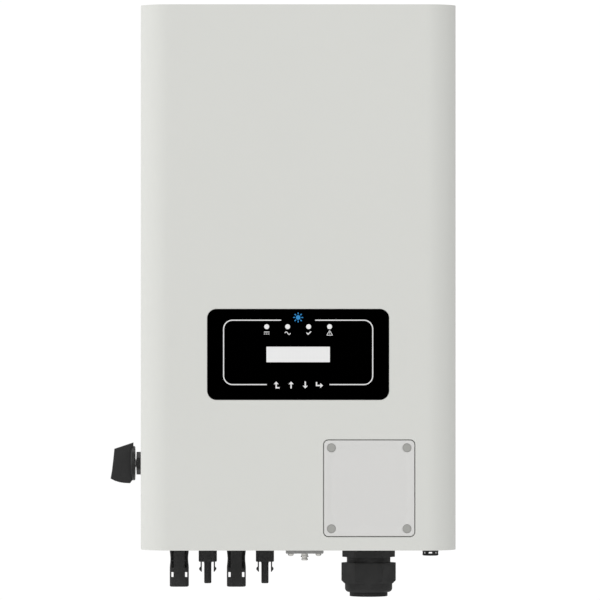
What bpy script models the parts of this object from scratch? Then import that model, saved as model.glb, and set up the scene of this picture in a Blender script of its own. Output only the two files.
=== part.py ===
import math

import bmesh
import bpy
from mathutils import Matrix, Vector

# String inverter hung on a wall bracket. Metres, +Z up, front towards -Y.
# The wall is the plane y = 0 and the origin is the centre of the bracket's back face.

# Driving dimensions of the case.
BODY_WIDTH = 0.319
BODY_HEIGHT = 0.5507
BODY_DEPTH = 0.205
BODY_BASE = -0.330
BODY_TOP = BODY_BASE + BODY_HEIGHT
SIDE_RADIUS = 0.029
EDGE_RADIUS = 0.0024
GAP = 0.0003

# How far a cutting solid reaches past the face it cuts.
REACH = 0.005

FRONT = -BODY_DEPTH
COVER_WALL = 0.0025
COVER_BACK = -0.150
REAR_FRONT = -0.148
REAR_BACK = -0.070
REAR_INSET = 0.001
REAR_WALL = 0.003
REAR_FLOOR = 0.004
SKIRT_BACK = -0.022
SKIRT_RADIUS = 0.018

# Heights of fittings under the case, measured from its base.
SEAT = REAR_INSET - GAP
INSIDE = REAR_INSET + REAR_WALL + GAP
FITTING_Y = -0.110
COMMS_Y = -0.135

# Display panel on the front.
PANEL_Z = BODY_BASE + 0.1977
PANEL_SIZE = (0.1832, 0.0915)
PANEL_RADIUS = 0.0093
POCKET_DEPTH = 0.0010
FILM_THICKNESS = 0.0007
LCD_SIZE = (0.0641, 0.0157)
LCD_HOLE = (0.066, 0.018)
LCD_CORNER = 0.0006
LED_X = (-0.0317, -0.0106, 0.0106, 0.0317)
LED_NAMES = ("dc", "ac", "normal", "alarm")
LED_Z = BODY_BASE + 0.2257
LED_RADIUS = 0.0026
KEY_X = (-0.02145, -0.00715, 0.00715, 0.02145)
KEY_NAMES = ("back", "up", "down", "enter")
KEY_Z = BODY_BASE + 0.1670
KEY_SIZE = (0.0095, 0.0090)
KEY_CORNER = 0.0010

# AC wiring bay cover on the front.
BAY_X = 0.0716
BAY_Z = BODY_BASE + 0.0628
BAY_COVER_SIZE = (0.0916, 0.0971)
BAY_COVER_RADIUS = 0.0046
BAY_COVER_THICKNESS = 0.0026
BAY_MARGIN = 0.0005
BAY_LEDGE = 0.0044
BAY_PAD = 0.0094
BAY_OPENING = (0.062, 0.068)
BAY_CORNER = 0.005
BAY_SCREW_X = 0.0381
BAY_SCREW_Z = 0.0408
BAY_SCREW_RADIUS = 0.0042
BAY_SCREW_HOLE = 0.0020

# Fittings along the bottom and the isolator on the left side.
PV_SHELL_X = (-0.1219, -0.0634)
PV_PROBE_X = (-0.0927, -0.0341)
PV_STEM_RADIUS = 0.0077
PV_HOLE_RADIUS = 0.0080
COMMS_X = 0.0066
COMMS_SCREW_X = 0.0141
COMMS_HOLE = (0.020, 0.014)
COMMS_CORNER = 0.002
GLAND_X = 0.0722
GLAND_THREAD_RADIUS = 0.0198
GLAND_HOLE_RADIUS = 0.0202
VENT_X = 0.1356
VENT_STEM_RADIUS = 0.0058
VENT_HOLE_RADIUS = 0.0061
KNOB_Z = BODY_BASE + 0.0853
KNOB_HOLE_RADIUS = 0.0081
REAR_SIDE = BODY_WIDTH / 2 - REAR_INSET
KNOB_INNER = 0.1671
SHAFT_RADIUS = 0.004

# Main circuit board, parallel to the wall.
MAIN_BOARD_BACK = -0.1010
MAIN_BOARD_FRONT = MAIN_BOARD_BACK - 0.0016

# Wall bracket and the hanger that hooks over it.
BRACKET_SIZE = (0.240, 0.130)
SHEET = 0.0025
LIP_TOP = 0.0817
HANGER_WIDTH = 0.250
HANGER_FRONT = -0.0197
LOCK_Y = -0.0098

ROUND_STEPS = 32
SMALL_STEPS = 16
TINY_STEPS = 10
CORNER_STEPS = 5
SMOOTH_ANGLE = math.radians(35)

AXES = {"X": Vector((1, 0, 0)), "Y": Vector((0, 1, 0)), "Z": Vector((0, 0, 1))}
SIDES = {"X": Vector((0, 0, 1)), "Y": Vector((1, 0, 0)), "Z": Vector((1, 0, 0))}

# Colour, roughness and metallic value of each finish.
FINISHES = {
    "powder_coat": ((0.66, 0.66, 0.64), 0.55, 0.0),
    "cover_paint": ((0.65, 0.65, 0.63), 0.5, 0.0),
    "black_plastic": ((0.03, 0.03, 0.03), 0.45, 0.0),
    "black_film": ((0.005, 0.005, 0.005), 0.35, 0.0),
    "rubber": ((0.02, 0.02, 0.02), 0.8, 0.0),
    "grey_steel": ((0.36, 0.37, 0.35), 0.4, 0.8),
    "zinc_steel": ((0.55, 0.56, 0.57), 0.35, 1.0),
    "aluminium": ((0.60, 0.61, 0.62), 0.4, 1.0),
    "nickel": ((0.62, 0.60, 0.55), 0.25, 1.0),
    "tin": ((0.70, 0.70, 0.68), 0.3, 1.0),
    "clear_lens": ((0.55, 0.56, 0.56), 0.2, 0.0),
    "lcd": ((0.75, 0.76, 0.76), 0.25, 0.0),
    "circuit_board": ((0.02, 0.16, 0.06), 0.5, 0.0),
    "ribbon": ((0.50, 0.50, 0.52), 0.5, 0.0),
    "capacitor_sleeve": ((0.02, 0.03, 0.10), 0.35, 0.0),
    "copper_winding": ((0.60, 0.22, 0.09), 0.35, 1.0),
    "potting": ((0.05, 0.05, 0.05), 0.6, 0.0),
    "terminal_plastic": ((0.30, 0.33, 0.30), 0.5, 0.0),
    "insulating_sheet": ((0.80, 0.80, 0.78), 0.6, 0.0),
}


def clear_scene():
    for obj in list(bpy.data.objects):
        bpy.data.objects.remove(obj, do_unlink=True)


def finish_material(name, finish):
    colour, roughness, metallic = FINISHES[finish]
    material = bpy.data.materials.new(name)
    material.use_nodes = True
    shader = material.node_tree.nodes["Principled BSDF"]
    shader.inputs["Base Color"].default_value = (*colour, 1.0)
    shader.inputs["Roughness"].default_value = roughness
    shader.inputs["Metallic"].default_value = metallic
    material.diffuse_color = (*colour, 1.0)
    return material


def make_empty(name, location=(0, 0, 0), parent=None):
    empty = bpy.data.objects.new(name, None)
    empty.empty_display_size = 0.02
    bpy.context.collection.objects.link(empty)
    empty.parent = parent
    empty.location = location
    return empty


def mesh_object(name, bm, location):
    bmesh.ops.recalc_face_normals(bm, faces=bm.faces)
    mesh = bpy.data.meshes.new(name)
    bm.to_mesh(mesh)
    bm.free()
    obj = bpy.data.objects.new(name, mesh)
    obj.location = location
    bpy.context.collection.objects.link(obj)
    return obj


def make_piece(name, bm, finish, parent, location=(0, 0, 0)):
    # The location is in world space; every parent empty is unturned and unscaled.
    obj = mesh_object(name, bm, Vector(location) - world_place(parent))
    obj.parent = parent
    obj.data.shade_smooth()
    obj.data.set_sharp_from_angle(angle=SMOOTH_ANGLE)
    obj.data.materials.append(finish_material(name, finish))
    return obj


def world_place(empty):
    place = Vector((0, 0, 0))
    while empty is not None:
        place += empty.location
        empty = empty.parent
    return place


def combine(obj, bm, operation, location=(0, 0, 0)):
    # Cuts, joins or intersects the piece with a hidden helper solid.
    helper = mesh_object(obj.name + "_" + operation.lower(), bm, location)
    helper.hide_render = True
    helper.display_type = "WIRE"
    modifier = obj.modifiers.new(operation.title(), "BOOLEAN")
    modifier.operation = operation
    modifier.solver = "EXACT"
    modifier.object = helper


def soften(obj, width, segments=1):
    modifier = obj.modifiers.new("Bevel", "BEVEL")
    modifier.width = width
    modifier.segments = segments
    modifier.limit_method = "ANGLE"
    modifier.angle_limit = math.radians(40)


def box(bm, low, high):
    low = Vector(low)
    high = Vector(high)
    size = high - low
    place = Matrix.Translation((low + high) / 2) @ Matrix.Diagonal((*size, 1.0))
    bmesh.ops.create_cube(bm, size=1.0, matrix=place)


def arc(centre, radius, start, end, steps=CORNER_STEPS):
    # Points on an arc of a plane outline, angles in degrees.
    points = []
    for step in range(steps + 1):
        angle = math.radians(start + (end - start) * step / steps)
        points.append((centre[0] + radius * math.cos(angle), centre[1] + radius * math.sin(angle)))
    return points


def rounded_rectangle(size, radius, centre=(0, 0), steps=CORNER_STEPS):
    across = size[0] / 2 - radius
    along = size[1] / 2 - radius
    corners = ((across, along, 0), (-across, along, 90), (-across, -along, 180), (across, -along, 270))
    outline = []
    for a, b, start in corners:
        outline += arc((centre[0] + a, centre[1] + b), radius, start, start + 90, steps)
    return outline


def prism(bm, outline, axis, low, high):
    # Adds a solid of a plane outline; the outline's plane keeps the order of x, y and z.
    places = {
        "X": lambda a, b: (low, a, b),
        "Y": lambda a, b: (a, low, b),
        "Z": lambda a, b: (a, b, low),
    }
    base = bm.faces.new([bm.verts.new(places[axis](a, b)) for a, b in outline])
    grown = bmesh.ops.extrude_face_region(bm, geom=[base])["geom"]
    moved = [item for item in grown if isinstance(item, bmesh.types.BMVert)]
    bmesh.ops.translate(bm, vec=AXES[axis] * (high - low), verts=moved)


def turned(bm, profile, axis, centre=(0, 0, 0), steps=ROUND_STEPS):
    # Adds the solid that a closed profile of (radius, height) points sweeps round an axis.
    centre = Vector(centre)
    ring = [bm.verts.new(centre + SIDES[axis] * r + AXES[axis] * h) for r, h in profile]
    edges = []
    for index, (radius, _) in enumerate(profile):
        following = (index + 1) % len(profile)
        if radius > 0 or profile[following][0] > 0:
            edges.append(bm.edges.new((ring[index], ring[following])))
    bmesh.ops.spin(
        bm, geom=ring + edges, cent=centre, axis=AXES[axis], angle=2 * math.pi, steps=steps
    )
    bmesh.ops.remove_doubles(bm, verts=bm.verts, dist=1e-6)


def rod(bm, radius, axis, low, high, centre=(0, 0, 0), steps=ROUND_STEPS):
    turned(bm, [(0, low), (radius, low), (radius, high), (0, high)], axis, centre, steps)


def tube(bm, outer, inner, axis, low, high, centre=(0, 0, 0), steps=ROUND_STEPS):
    turned(bm, [(inner, low), (outer, low), (outer, high), (inner, high)], axis, centre, steps)


def wall_bracket(parent):
    half_width = BRACKET_SIZE[0] / 2
    half_height = BRACKET_SIZE[1] / 2
    lip_back = -0.0095
    lip_front = lip_back - SHEET
    section = [
        (0, -half_height),
        (-SHEET, -half_height),
        (-SHEET, half_height - SHEET),
        (lip_front, half_height - SHEET),
        (lip_front, LIP_TOP),
        (lip_back, LIP_TOP),
        (lip_back, half_height),
        (0, half_height),
    ]
    bm = bmesh.new()
    prism(bm, section, "X", -half_width, half_width)
    bracket = make_piece("wall_bracket", bm, "zinc_steel", parent)

    # Ear bent forward at the right edge, with a notch that is open upwards.
    ear_front = -0.015
    notch_half = 0.0025
    ear_low = -0.020
    ear_high = 0.008
    notch_low = -0.003
    ear = [
        (-SHEET / 2, ear_low),
        (ear_front, ear_low),
        (ear_front, ear_high),
        (LOCK_Y - notch_half, ear_high),
        (LOCK_Y - notch_half, notch_low),
        (LOCK_Y + notch_half, notch_low),
        (LOCK_Y + notch_half, ear_high),
        (-SHEET / 2, ear_high),
    ]
    bm = bmesh.new()
    prism(bm, ear, "X", half_width - SHEET, half_width)
    combine(bracket, bm, "UNION")

    slot = (0.0085, 0.016)
    slot_round = 0.0042
    bm = bmesh.new()
    for x in (-0.095, 0.095):
        for z in (-0.045, 0.040):
            outline = rounded_rectangle(slot, slot_round, (x, z), 4)
            prism(bm, outline, "Y", -SHEET - REACH, REACH)
    combine(bracket, bm, "DIFFERENCE")


def hanger_plate(parent):
    low = -0.040
    shelf_low = LIP_TOP + GAP
    shelf_high = shelf_low + SHEET
    hook_low = 0.068
    hook_back = -0.0055
    section = [
        (HANGER_FRONT, low),
        (HANGER_FRONT + SHEET, low),
        (HANGER_FRONT + SHEET, shelf_low),
        (hook_back - SHEET, shelf_low),
        (hook_back - SHEET, hook_low),
        (hook_back, hook_low),
        (hook_back, shelf_high),
        (HANGER_FRONT, shelf_high),
    ]
    bm = bmesh.new()
    prism(bm, section, "X", -HANGER_WIDTH / 2, HANGER_WIDTH / 2)
    hanger = make_piece("hanger_plate", bm, "zinc_steel", parent)

    # Flange at the right edge, with the hole for the lock screw.
    flange_half = 0.015
    flange_back = -0.005
    lock_hole = 0.0023
    edge = HANGER_WIDTH / 2
    bm = bmesh.new()
    box(
        bm,
        (edge - SHEET, HANGER_FRONT + SHEET / 2, -flange_half),
        (edge, flange_back, flange_half),
    )
    combine(hanger, bm, "UNION")
    bm = bmesh.new()
    rod(bm, lock_hole, "X", edge - REACH, edge + REACH, (0, LOCK_Y, 0), TINY_STEPS)
    combine(hanger, bm, "DIFFERENCE")


def lock_screw(parent):
    head_inner = HANGER_WIDTH / 2 + GAP
    head_outer = head_inner + 0.0038
    head_edge = 0.0008
    tip = 0.1145
    shank = 0.0020
    head = 0.0040
    profile = [
        (0, tip),
        (shank, tip),
        (shank, head_inner),
        (head, head_inner),
        (head, head_outer - head_edge),
        (head - head_edge, head_outer),
        (0, head_outer),
    ]
    bm = bmesh.new()
    turned(bm, profile, "X", (0, 0, 0), TINY_STEPS)
    make_piece("lock_screw", bm, "zinc_steel", parent, (0, LOCK_Y, 0))


def cover_section(half_width, back, front, radius):
    # Plan outline of the front cover: square at the back, rounded at the front sides.
    left = arc((-half_width + radius, front + radius), radius, 180, 270, 9)
    right = arc((half_width - radius, front + radius), radius, 270, 360, 9)
    return [(-half_width, back)] + left + right + [(half_width, back)]


def front_cover(parent):
    bm = bmesh.new()
    outline = cover_section(BODY_WIDTH / 2, COVER_BACK, FRONT, SIDE_RADIUS)
    prism(bm, outline, "Z", BODY_BASE, BODY_TOP)
    rims = []
    for edge in bm.edges:
        first, second = (vert.co for vert in edge.verts)
        level = abs(first.z - second.z) < 1e-6
        at_back = abs(first.y - COVER_BACK) < 1e-6 and abs(second.y - COVER_BACK) < 1e-6
        if level and not at_back:
            rims.append(edge)
    bmesh.ops.bevel(bm, geom=rims, offset=EDGE_RADIUS, segments=2, profile=0.5, affect="EDGES")
    cover = make_piece("front_cover", bm, "powder_coat", parent)

    hollow = cover_section(
        BODY_WIDTH / 2 - COVER_WALL, COVER_BACK + REACH, FRONT + COVER_WALL, SIDE_RADIUS - COVER_WALL
    )
    bm = bmesh.new()
    prism(bm, hollow, "Z", BODY_BASE + COVER_WALL, BODY_TOP - COVER_WALL)
    combine(cover, bm, "DIFFERENCE")

    # Raised pad behind the wiring bay's recess.
    pad_half = (0.0514, 0.0530)
    pad_front = FRONT + COVER_WALL / 2
    bm = bmesh.new()
    box(
        bm,
        (BAY_X - pad_half[0], pad_front, BAY_Z - pad_half[1]),
        (BAY_X + pad_half[0], FRONT + BAY_PAD, BAY_Z + pad_half[1]),
    )
    combine(cover, bm, "UNION")

    recess = (BAY_COVER_SIZE[0] + 2 * BAY_MARGIN, BAY_COVER_SIZE[1] + 2 * BAY_MARGIN)
    pocket = (PANEL_SIZE[0] + 2 * GAP, PANEL_SIZE[1] + 2 * GAP)
    ahead = FRONT - REACH
    bm = bmesh.new()
    prism(
        bm,
        rounded_rectangle(recess, BAY_COVER_RADIUS + BAY_MARGIN, (BAY_X, BAY_Z)),
        "Y",
        ahead,
        FRONT + BAY_LEDGE,
    )
    prism(
        bm,
        rounded_rectangle(pocket, PANEL_RADIUS + GAP, (0, PANEL_Z)),
        "Y",
        ahead,
        FRONT + POCKET_DEPTH,
    )
    combine(cover, bm, "DIFFERENCE")

    behind = FRONT + BAY_PAD + REACH
    corner = 0.001
    key_hole = (KEY_SIZE[0] + 2 * corner, KEY_SIZE[1] + 2 * corner)
    bm = bmesh.new()
    prism(bm, rounded_rectangle(BAY_OPENING, BAY_CORNER, (BAY_X, BAY_Z)), "Y", ahead, behind)
    prism(bm, rounded_rectangle(LCD_HOLE, corner, (0, PANEL_Z), 2), "Y", ahead, behind)
    for x in LED_X:
        rod(bm, LED_RADIUS + corner / 2, "Y", ahead, behind, (x, 0, LED_Z), TINY_STEPS)
    for x in KEY_X:
        prism(bm, rounded_rectangle(key_hole, corner, (x, KEY_Z), 2), "Y", ahead, behind)
    for x, z in bay_screw_places():
        rod(bm, BAY_SCREW_HOLE, "Y", ahead, behind, (x, 0, z), TINY_STEPS)
    combine(cover, bm, "DIFFERENCE")


def bay_screw_places():
    places = []
    for z in (BAY_Z + BAY_SCREW_Z, BAY_Z - BAY_SCREW_Z):
        for x in (BAY_X - BAY_SCREW_X, BAY_X + BAY_SCREW_X):
            places.append((x, z))
    return places


def rear_housing(parent):
    inner_side = REAR_SIDE - REAR_WALL
    section = [
        (-REAR_SIDE, REAR_FRONT),
        (REAR_SIDE, REAR_FRONT),
        (REAR_SIDE, SKIRT_BACK),
        (inner_side, SKIRT_BACK),
        (inner_side, REAR_BACK),
        (-inner_side, REAR_BACK),
        (-inner_side, SKIRT_BACK),
        (-REAR_SIDE, SKIRT_BACK),
    ]
    low = BODY_BASE + REAR_INSET
    high = BODY_TOP - REAR_INSET
    bm = bmesh.new()
    prism(bm, section, "Z", low, high)
    housing = make_piece("rear_housing", bm, "powder_coat", parent)

    bm = bmesh.new()
    box(
        bm,
        (-inner_side, REAR_FRONT - REACH, low + REAR_WALL),
        (inner_side, REAR_BACK - REAR_FLOOR, high - REAR_WALL),
    )
    combine(housing, bm, "DIFFERENCE")

    # Rounded corners on the skirts, where they come near the wall.
    bm = bmesh.new()
    for end, way in ((low, 1), (high, -1)):
        centre = (SKIRT_BACK - SKIRT_RADIUS, end + way * SKIRT_RADIUS)
        outline = arc(centre, SKIRT_RADIUS, -way * 90, 0, 6)
        outline += [(SKIRT_BACK + REACH, centre[1]), (SKIRT_BACK + REACH, end - way * REACH)]
        outline += [(centre[0], end - way * REACH)]
        prism(bm, outline, "X", -REAR_SIDE - REACH, REAR_SIDE + REACH)
    combine(housing, bm, "DIFFERENCE")

    # Holes for the fittings in the bottom wall, and for the isolator in the left wall.
    below = low - REACH
    above = low + REAR_WALL + REACH
    bm = bmesh.new()
    for x in PV_SHELL_X + PV_PROBE_X:
        rod(bm, PV_HOLE_RADIUS, "Z", below, above, (x, FITTING_Y, 0), SMALL_STEPS)
    rod(bm, GLAND_HOLE_RADIUS, "Z", below, above, (GLAND_X, FITTING_Y, 0))
    rod(bm, VENT_HOLE_RADIUS, "Z", below, above, (VENT_X, FITTING_Y, 0), SMALL_STEPS)
    comms_hole = rounded_rectangle(COMMS_HOLE, COMMS_CORNER, (COMMS_X, COMMS_Y), 2)
    prism(bm, comms_hole, "Z", below, above)
    outside = -REAR_SIDE - REACH
    inside = REAR_WALL - REAR_SIDE + REACH
    rod(bm, KNOB_HOLE_RADIUS, "X", outside, inside, (0, FITTING_Y, KNOB_Z), SMALL_STEPS)
    combine(housing, bm, "DIFFERENCE")


def cover_gasket(parent):
    edge = 0.0012
    width = 0.0026
    outer = (BODY_WIDTH / 2 - edge, BODY_HEIGHT / 2 - edge)
    inner = (outer[0] - width, outer[1] - width)
    middle = (BODY_BASE + BODY_TOP) / 2
    low = COVER_BACK + GAP
    high = REAR_FRONT - GAP
    bm = bmesh.new()
    box(bm, (-outer[0], low, middle - outer[1]), (outer[0], high, middle + outer[1]))
    gasket = make_piece("cover_gasket", bm, "rubber", parent)
    bm = bmesh.new()
    box(
        bm,
        (-inner[0], low - REACH, middle - inner[1]),
        (inner[0], high + REACH, middle + inner[1]),
    )
    combine(gasket, bm, "DIFFERENCE")


def heatsink(parent):
    width = 0.250
    fins = 16
    fin = 0.0024
    fin_back = -0.020
    base_back = -0.0617
    low = -0.265
    high = 0.155
    pitch = (width - fin) / (fins - 1)
    outline = [(-width / 2, REAR_BACK + GAP), (width / 2, REAR_BACK + GAP)]
    for index in reversed(range(fins)):
        left = -width / 2 + index * pitch
        outline += [(left + fin, fin_back), (left, fin_back)]
        if index > 0:
            outline += [(left, base_back), (left - pitch + fin, base_back)]
    bm = bmesh.new()
    prism(bm, outline, "Z", low, high)
    make_piece("heatsink", bm, "aluminium", parent)


def display_overlay(parent):
    bm = bmesh.new()
    back = FRONT + FILM_THICKNESS
    prism(bm, rounded_rectangle(PANEL_SIZE, PANEL_RADIUS, (0, PANEL_Z), 8), "Y", FRONT, back)
    film = make_piece("display_overlay", bm, "black_film", parent)

    ahead = FRONT - REACH
    behind = back + REACH
    window = (LCD_SIZE[0] + 2 * GAP, LCD_SIZE[1] + 2 * GAP)
    key_hole = (KEY_SIZE[0] + 2 * GAP, KEY_SIZE[1] + 2 * GAP)
    bm = bmesh.new()
    prism(bm, rounded_rectangle(window, LCD_CORNER + GAP, (0, PANEL_Z), 2), "Y", ahead, behind)
    for x in LED_X:
        rod(bm, LED_RADIUS + GAP, "Y", ahead, behind, (x, 0, LED_Z), SMALL_STEPS)
    for x in KEY_X:
        prism(bm, rounded_rectangle(key_hole, KEY_CORNER + GAP, (x, KEY_Z), 2), "Y", ahead, behind)
    combine(film, bm, "DIFFERENCE")


def led_lenses(parent):
    # Light pipes that run from the display board to the panel's face.
    length = 0.0135
    for name, x in zip(LED_NAMES, LED_X):
        bm = bmesh.new()
        rod(bm, LED_RADIUS, "Y", 0, length, (0, 0, 0), SMALL_STEPS)
        make_piece("led_lens_" + name, bm, "clear_lens", parent, (x, FRONT, LED_Z))


def lcd_pieces(parent):
    window_depth = 0.0027
    module_half = (0.040, 0.018)
    module_depth = 0.0115
    bm = bmesh.new()
    prism(bm, rounded_rectangle(LCD_SIZE, LCD_CORNER, (0, 0), 2), "Y", 0, window_depth)
    make_piece("lcd_window", bm, "lcd", parent, (0, FRONT, PANEL_Z))

    bm = bmesh.new()
    box(
        bm,
        (-module_half[0], window_depth + GAP, -module_half[1]),
        (module_half[0], window_depth + GAP + module_depth, module_half[1]),
    )
    module = make_piece("lcd_module", bm, "potting", parent, (0, FRONT, PANEL_Z))
    soften(module, 0.0006)


def display_board(parent):
    board_front = 0.0150
    thickness = 0.0016
    low = -0.047
    high = 0.040
    half_width = 0.062
    bm = bmesh.new()
    box(bm, (-half_width, board_front, low), (half_width, board_front + thickness, high))
    make_piece("display_board", bm, "circuit_board", parent, (0, FRONT, PANEL_Z))

    # Flat cable from the display board's back up to the main board's face.
    ribbon_front = board_front + thickness + GAP
    ribbon_back = MAIN_BOARD_FRONT - GAP - FRONT
    sheet = 0.0008
    rise = 0.068
    lead = 0.0115
    slant = 0.0005
    half_width = 0.015
    start = PANEL_Z + 0.025
    path = [
        (ribbon_front, 0),
        (ribbon_front + lead, 0),
        (ribbon_back - lead, rise),
        (ribbon_back, rise),
        (ribbon_back, rise - sheet),
        (ribbon_back - lead + slant, rise - sheet),
        (ribbon_front + lead + slant, -sheet),
        (ribbon_front, -sheet),
    ]
    bm = bmesh.new()
    prism(bm, path, "X", -half_width, half_width)
    make_piece("display_ribbon", bm, "ribbon", parent, (0, FRONT, start))


def menu_keys(parent):
    depth = 0.0062
    for name, x in zip(KEY_NAMES, KEY_X):
        bm = bmesh.new()
        prism(bm, rounded_rectangle(KEY_SIZE, KEY_CORNER, (0, 0), 3), "Y", 0, depth)
        make_piece("key_" + name, bm, "black_film", parent, (x, FRONT, KEY_Z))


def bay_cover(parent):
    back = FRONT + BAY_COVER_THICKNESS
    outline = rounded_rectangle(BAY_COVER_SIZE, BAY_COVER_RADIUS, (BAY_X, BAY_Z), 6)
    bm = bmesh.new()
    prism(bm, outline, "Y", FRONT, back)
    cover = make_piece("ac_cover", bm, "cover_paint", parent)
    head = 0.0013
    shank_hole = 0.0022
    counterbore = [
        (0, FRONT - REACH),
        (BAY_SCREW_RADIUS + GAP, FRONT - REACH),
        (BAY_SCREW_RADIUS + GAP, FRONT + head + GAP),
        (shank_hole, FRONT + head + GAP),
        (shank_hole, back + REACH),
        (0, back + REACH),
    ]
    bm = bmesh.new()
    for x, z in bay_screw_places():
        turned(bm, counterbore, "Y", (x, 0, z), SMALL_STEPS)
    combine(cover, bm, "DIFFERENCE")

    # Seal between the cover plate and the recess's ledge.
    seal_front = back + GAP
    seal_back = FRONT + BAY_LEDGE - GAP
    inset = 0.001
    seal_size = (BAY_COVER_SIZE[0] - 2 * inset, BAY_COVER_SIZE[1] - 2 * inset)
    seal_hole = (BAY_OPENING[0] + inset, BAY_OPENING[1] + inset)
    seal_outline = rounded_rectangle(seal_size, BAY_COVER_RADIUS - inset, (BAY_X, BAY_Z), 4)
    bm = bmesh.new()
    prism(bm, seal_outline, "Y", seal_front, seal_back)
    seal = make_piece("ac_cover_gasket", bm, "rubber", parent)
    bm = bmesh.new()
    hole = rounded_rectangle(seal_hole, BAY_CORNER, (BAY_X, BAY_Z), 4)
    prism(bm, hole, "Y", seal_front - REACH, seal_back + REACH)
    for x, z in bay_screw_places():
        rod(bm, shank_hole, "Y", seal_front - REACH, seal_back + REACH, (x, 0, z), TINY_STEPS)
    combine(seal, bm, "DIFFERENCE")

    length = 0.0085
    shank = 0.0017
    point = 0.0009
    screw = [
        (0, 0),
        (BAY_SCREW_RADIUS - GAP, 0),
        (BAY_SCREW_RADIUS, GAP),
        (BAY_SCREW_RADIUS, head),
        (shank, head),
        (shank, length - point),
        (point, length),
        (0, length),
    ]
    for number, (x, z) in enumerate(bay_screw_places(), start=1):
        bm = bmesh.new()
        turned(bm, screw, "Y", (0, 0, 0), SMALL_STEPS)
        make_piece(f"ac_cover_screw_{number}", bm, "grey_steel", parent, (x, FRONT, z))


def bay_inside(parent):
    # Terminal block on the back wall, reached through the bay's opening.
    floor = REAR_BACK - REAR_FLOOR - GAP
    half_width = 0.0265
    low = BAY_Z - 0.008
    high = BAY_Z + 0.022
    face = floor - 0.036
    ways = 5
    pitch = 0.0102
    screw_radius = 0.0024
    screw_z = high - 0.008
    entry_half = 0.0032
    entry_z = low + 0.0062
    bm = bmesh.new()
    box(bm, (BAY_X - half_width, face, low), (BAY_X + half_width, floor, high))
    block = make_piece("ac_terminal_block", bm, "terminal_plastic", parent)
    bm = bmesh.new()
    for index in range(ways):
        x = BAY_X + (index - (ways - 1) / 2) * pitch
        rod(bm, screw_radius, "Y", face - REACH, face + 0.010, (x, 0, screw_z), TINY_STEPS)
        box(
            bm,
            (x - entry_half, face - REACH, entry_z - entry_half),
            (x + entry_half, face + 0.018, entry_z + entry_half),
        )
    combine(block, bm, "DIFFERENCE")

    # Folded sheet that parts the bay from the electronics.
    left = 0.026
    right = 0.150
    bottom = BODY_BASE + 0.010
    top = BODY_BASE + 0.122
    sheet = 0.0015
    outline = [
        (left, bottom),
        (left + sheet, bottom),
        (left + sheet, top - sheet),
        (right, top - sheet),
        (right, top),
        (left, top),
    ]
    bm = bmesh.new()
    sheet_front = FRONT + BAY_PAD + 0.002
    prism(bm, outline, "Y", sheet_front, floor)
    make_piece("wiring_bay_shield", bm, "insulating_sheet", parent)


def power_electronics(parent):
    floor = REAR_BACK - REAR_FLOOR - GAP
    board_half = 0.135
    board_low = -0.060
    board_high = 0.200
    bm = bmesh.new()
    box(bm, (-board_half, MAIN_BOARD_FRONT, board_low), (board_half, MAIN_BOARD_BACK, board_high))
    make_piece("main_board", bm, "circuit_board", parent)

    module_half = 0.060
    module_low = 0.060
    module_high = 0.122
    module_depth = 0.018
    bm = bmesh.new()
    box(bm, (-module_half, floor - module_depth, module_low), (module_half, floor, module_high))
    module = make_piece("igbt_module", bm, "potting", parent)
    soften(module, 0.0015)

    # Radial capacitors stand on the main board, rounded at both ends.
    can_radius = 0.0175
    can_round = 0.0015
    can_x = 0.090
    can_z = 0.165
    can_base = MAIN_BOARD_FRONT - GAP
    can_tip = can_base - 0.045
    can = [
        (0, can_tip),
        (can_radius - can_round, can_tip),
        (can_radius, can_tip + can_round),
        (can_radius, can_base - can_round),
        (can_radius - can_round, can_base),
        (0, can_base),
    ]
    for number, x in enumerate((-can_x, can_x), start=1):
        bm = bmesh.new()
        turned(bm, can, "Y", (0, 0, 0), SMALL_STEPS)
        make_piece(f"dc_link_capacitor_{number}", bm, "capacitor_sleeve", parent, (x, 0, can_z))

    # Ring-core chokes lie on the back wall, below the main board.
    for name, x, z, outer, inner in (
        ("boost_inductor_1", -0.105, -0.110, 0.036, 0.014),
        ("boost_inductor_2", -0.020, -0.110, 0.036, 0.014),
        ("output_inductor", 0.085, -0.115, 0.041, 0.016),
    ):
        back = floor - GAP
        front = back - 0.034
        round_off = 0.005  # corner of the winding's section
        ring = [
            (inner, front + round_off),
            (inner + round_off, front),
            (outer - round_off, front),
            (outer, front + round_off),
            (outer, back - round_off),
            (outer - round_off, back),
            (inner + round_off, back),
            (inner, back - round_off),
        ]
        bm = bmesh.new()
        turned(bm, ring, "Y", (0, 0, 0), 24)
        make_piece(name, bm, "copper_winding", parent, (x, 0, z))

    filter_left = -0.090
    filter_low = -0.296
    filter_high = -0.236
    filter_depth = 0.045
    bm = bmesh.new()
    box(bm, (filter_left, floor - filter_depth, filter_low), (0, floor, filter_high))
    emi = make_piece("emi_filter", bm, "potting", parent)
    soften(emi, 0.002)


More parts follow.
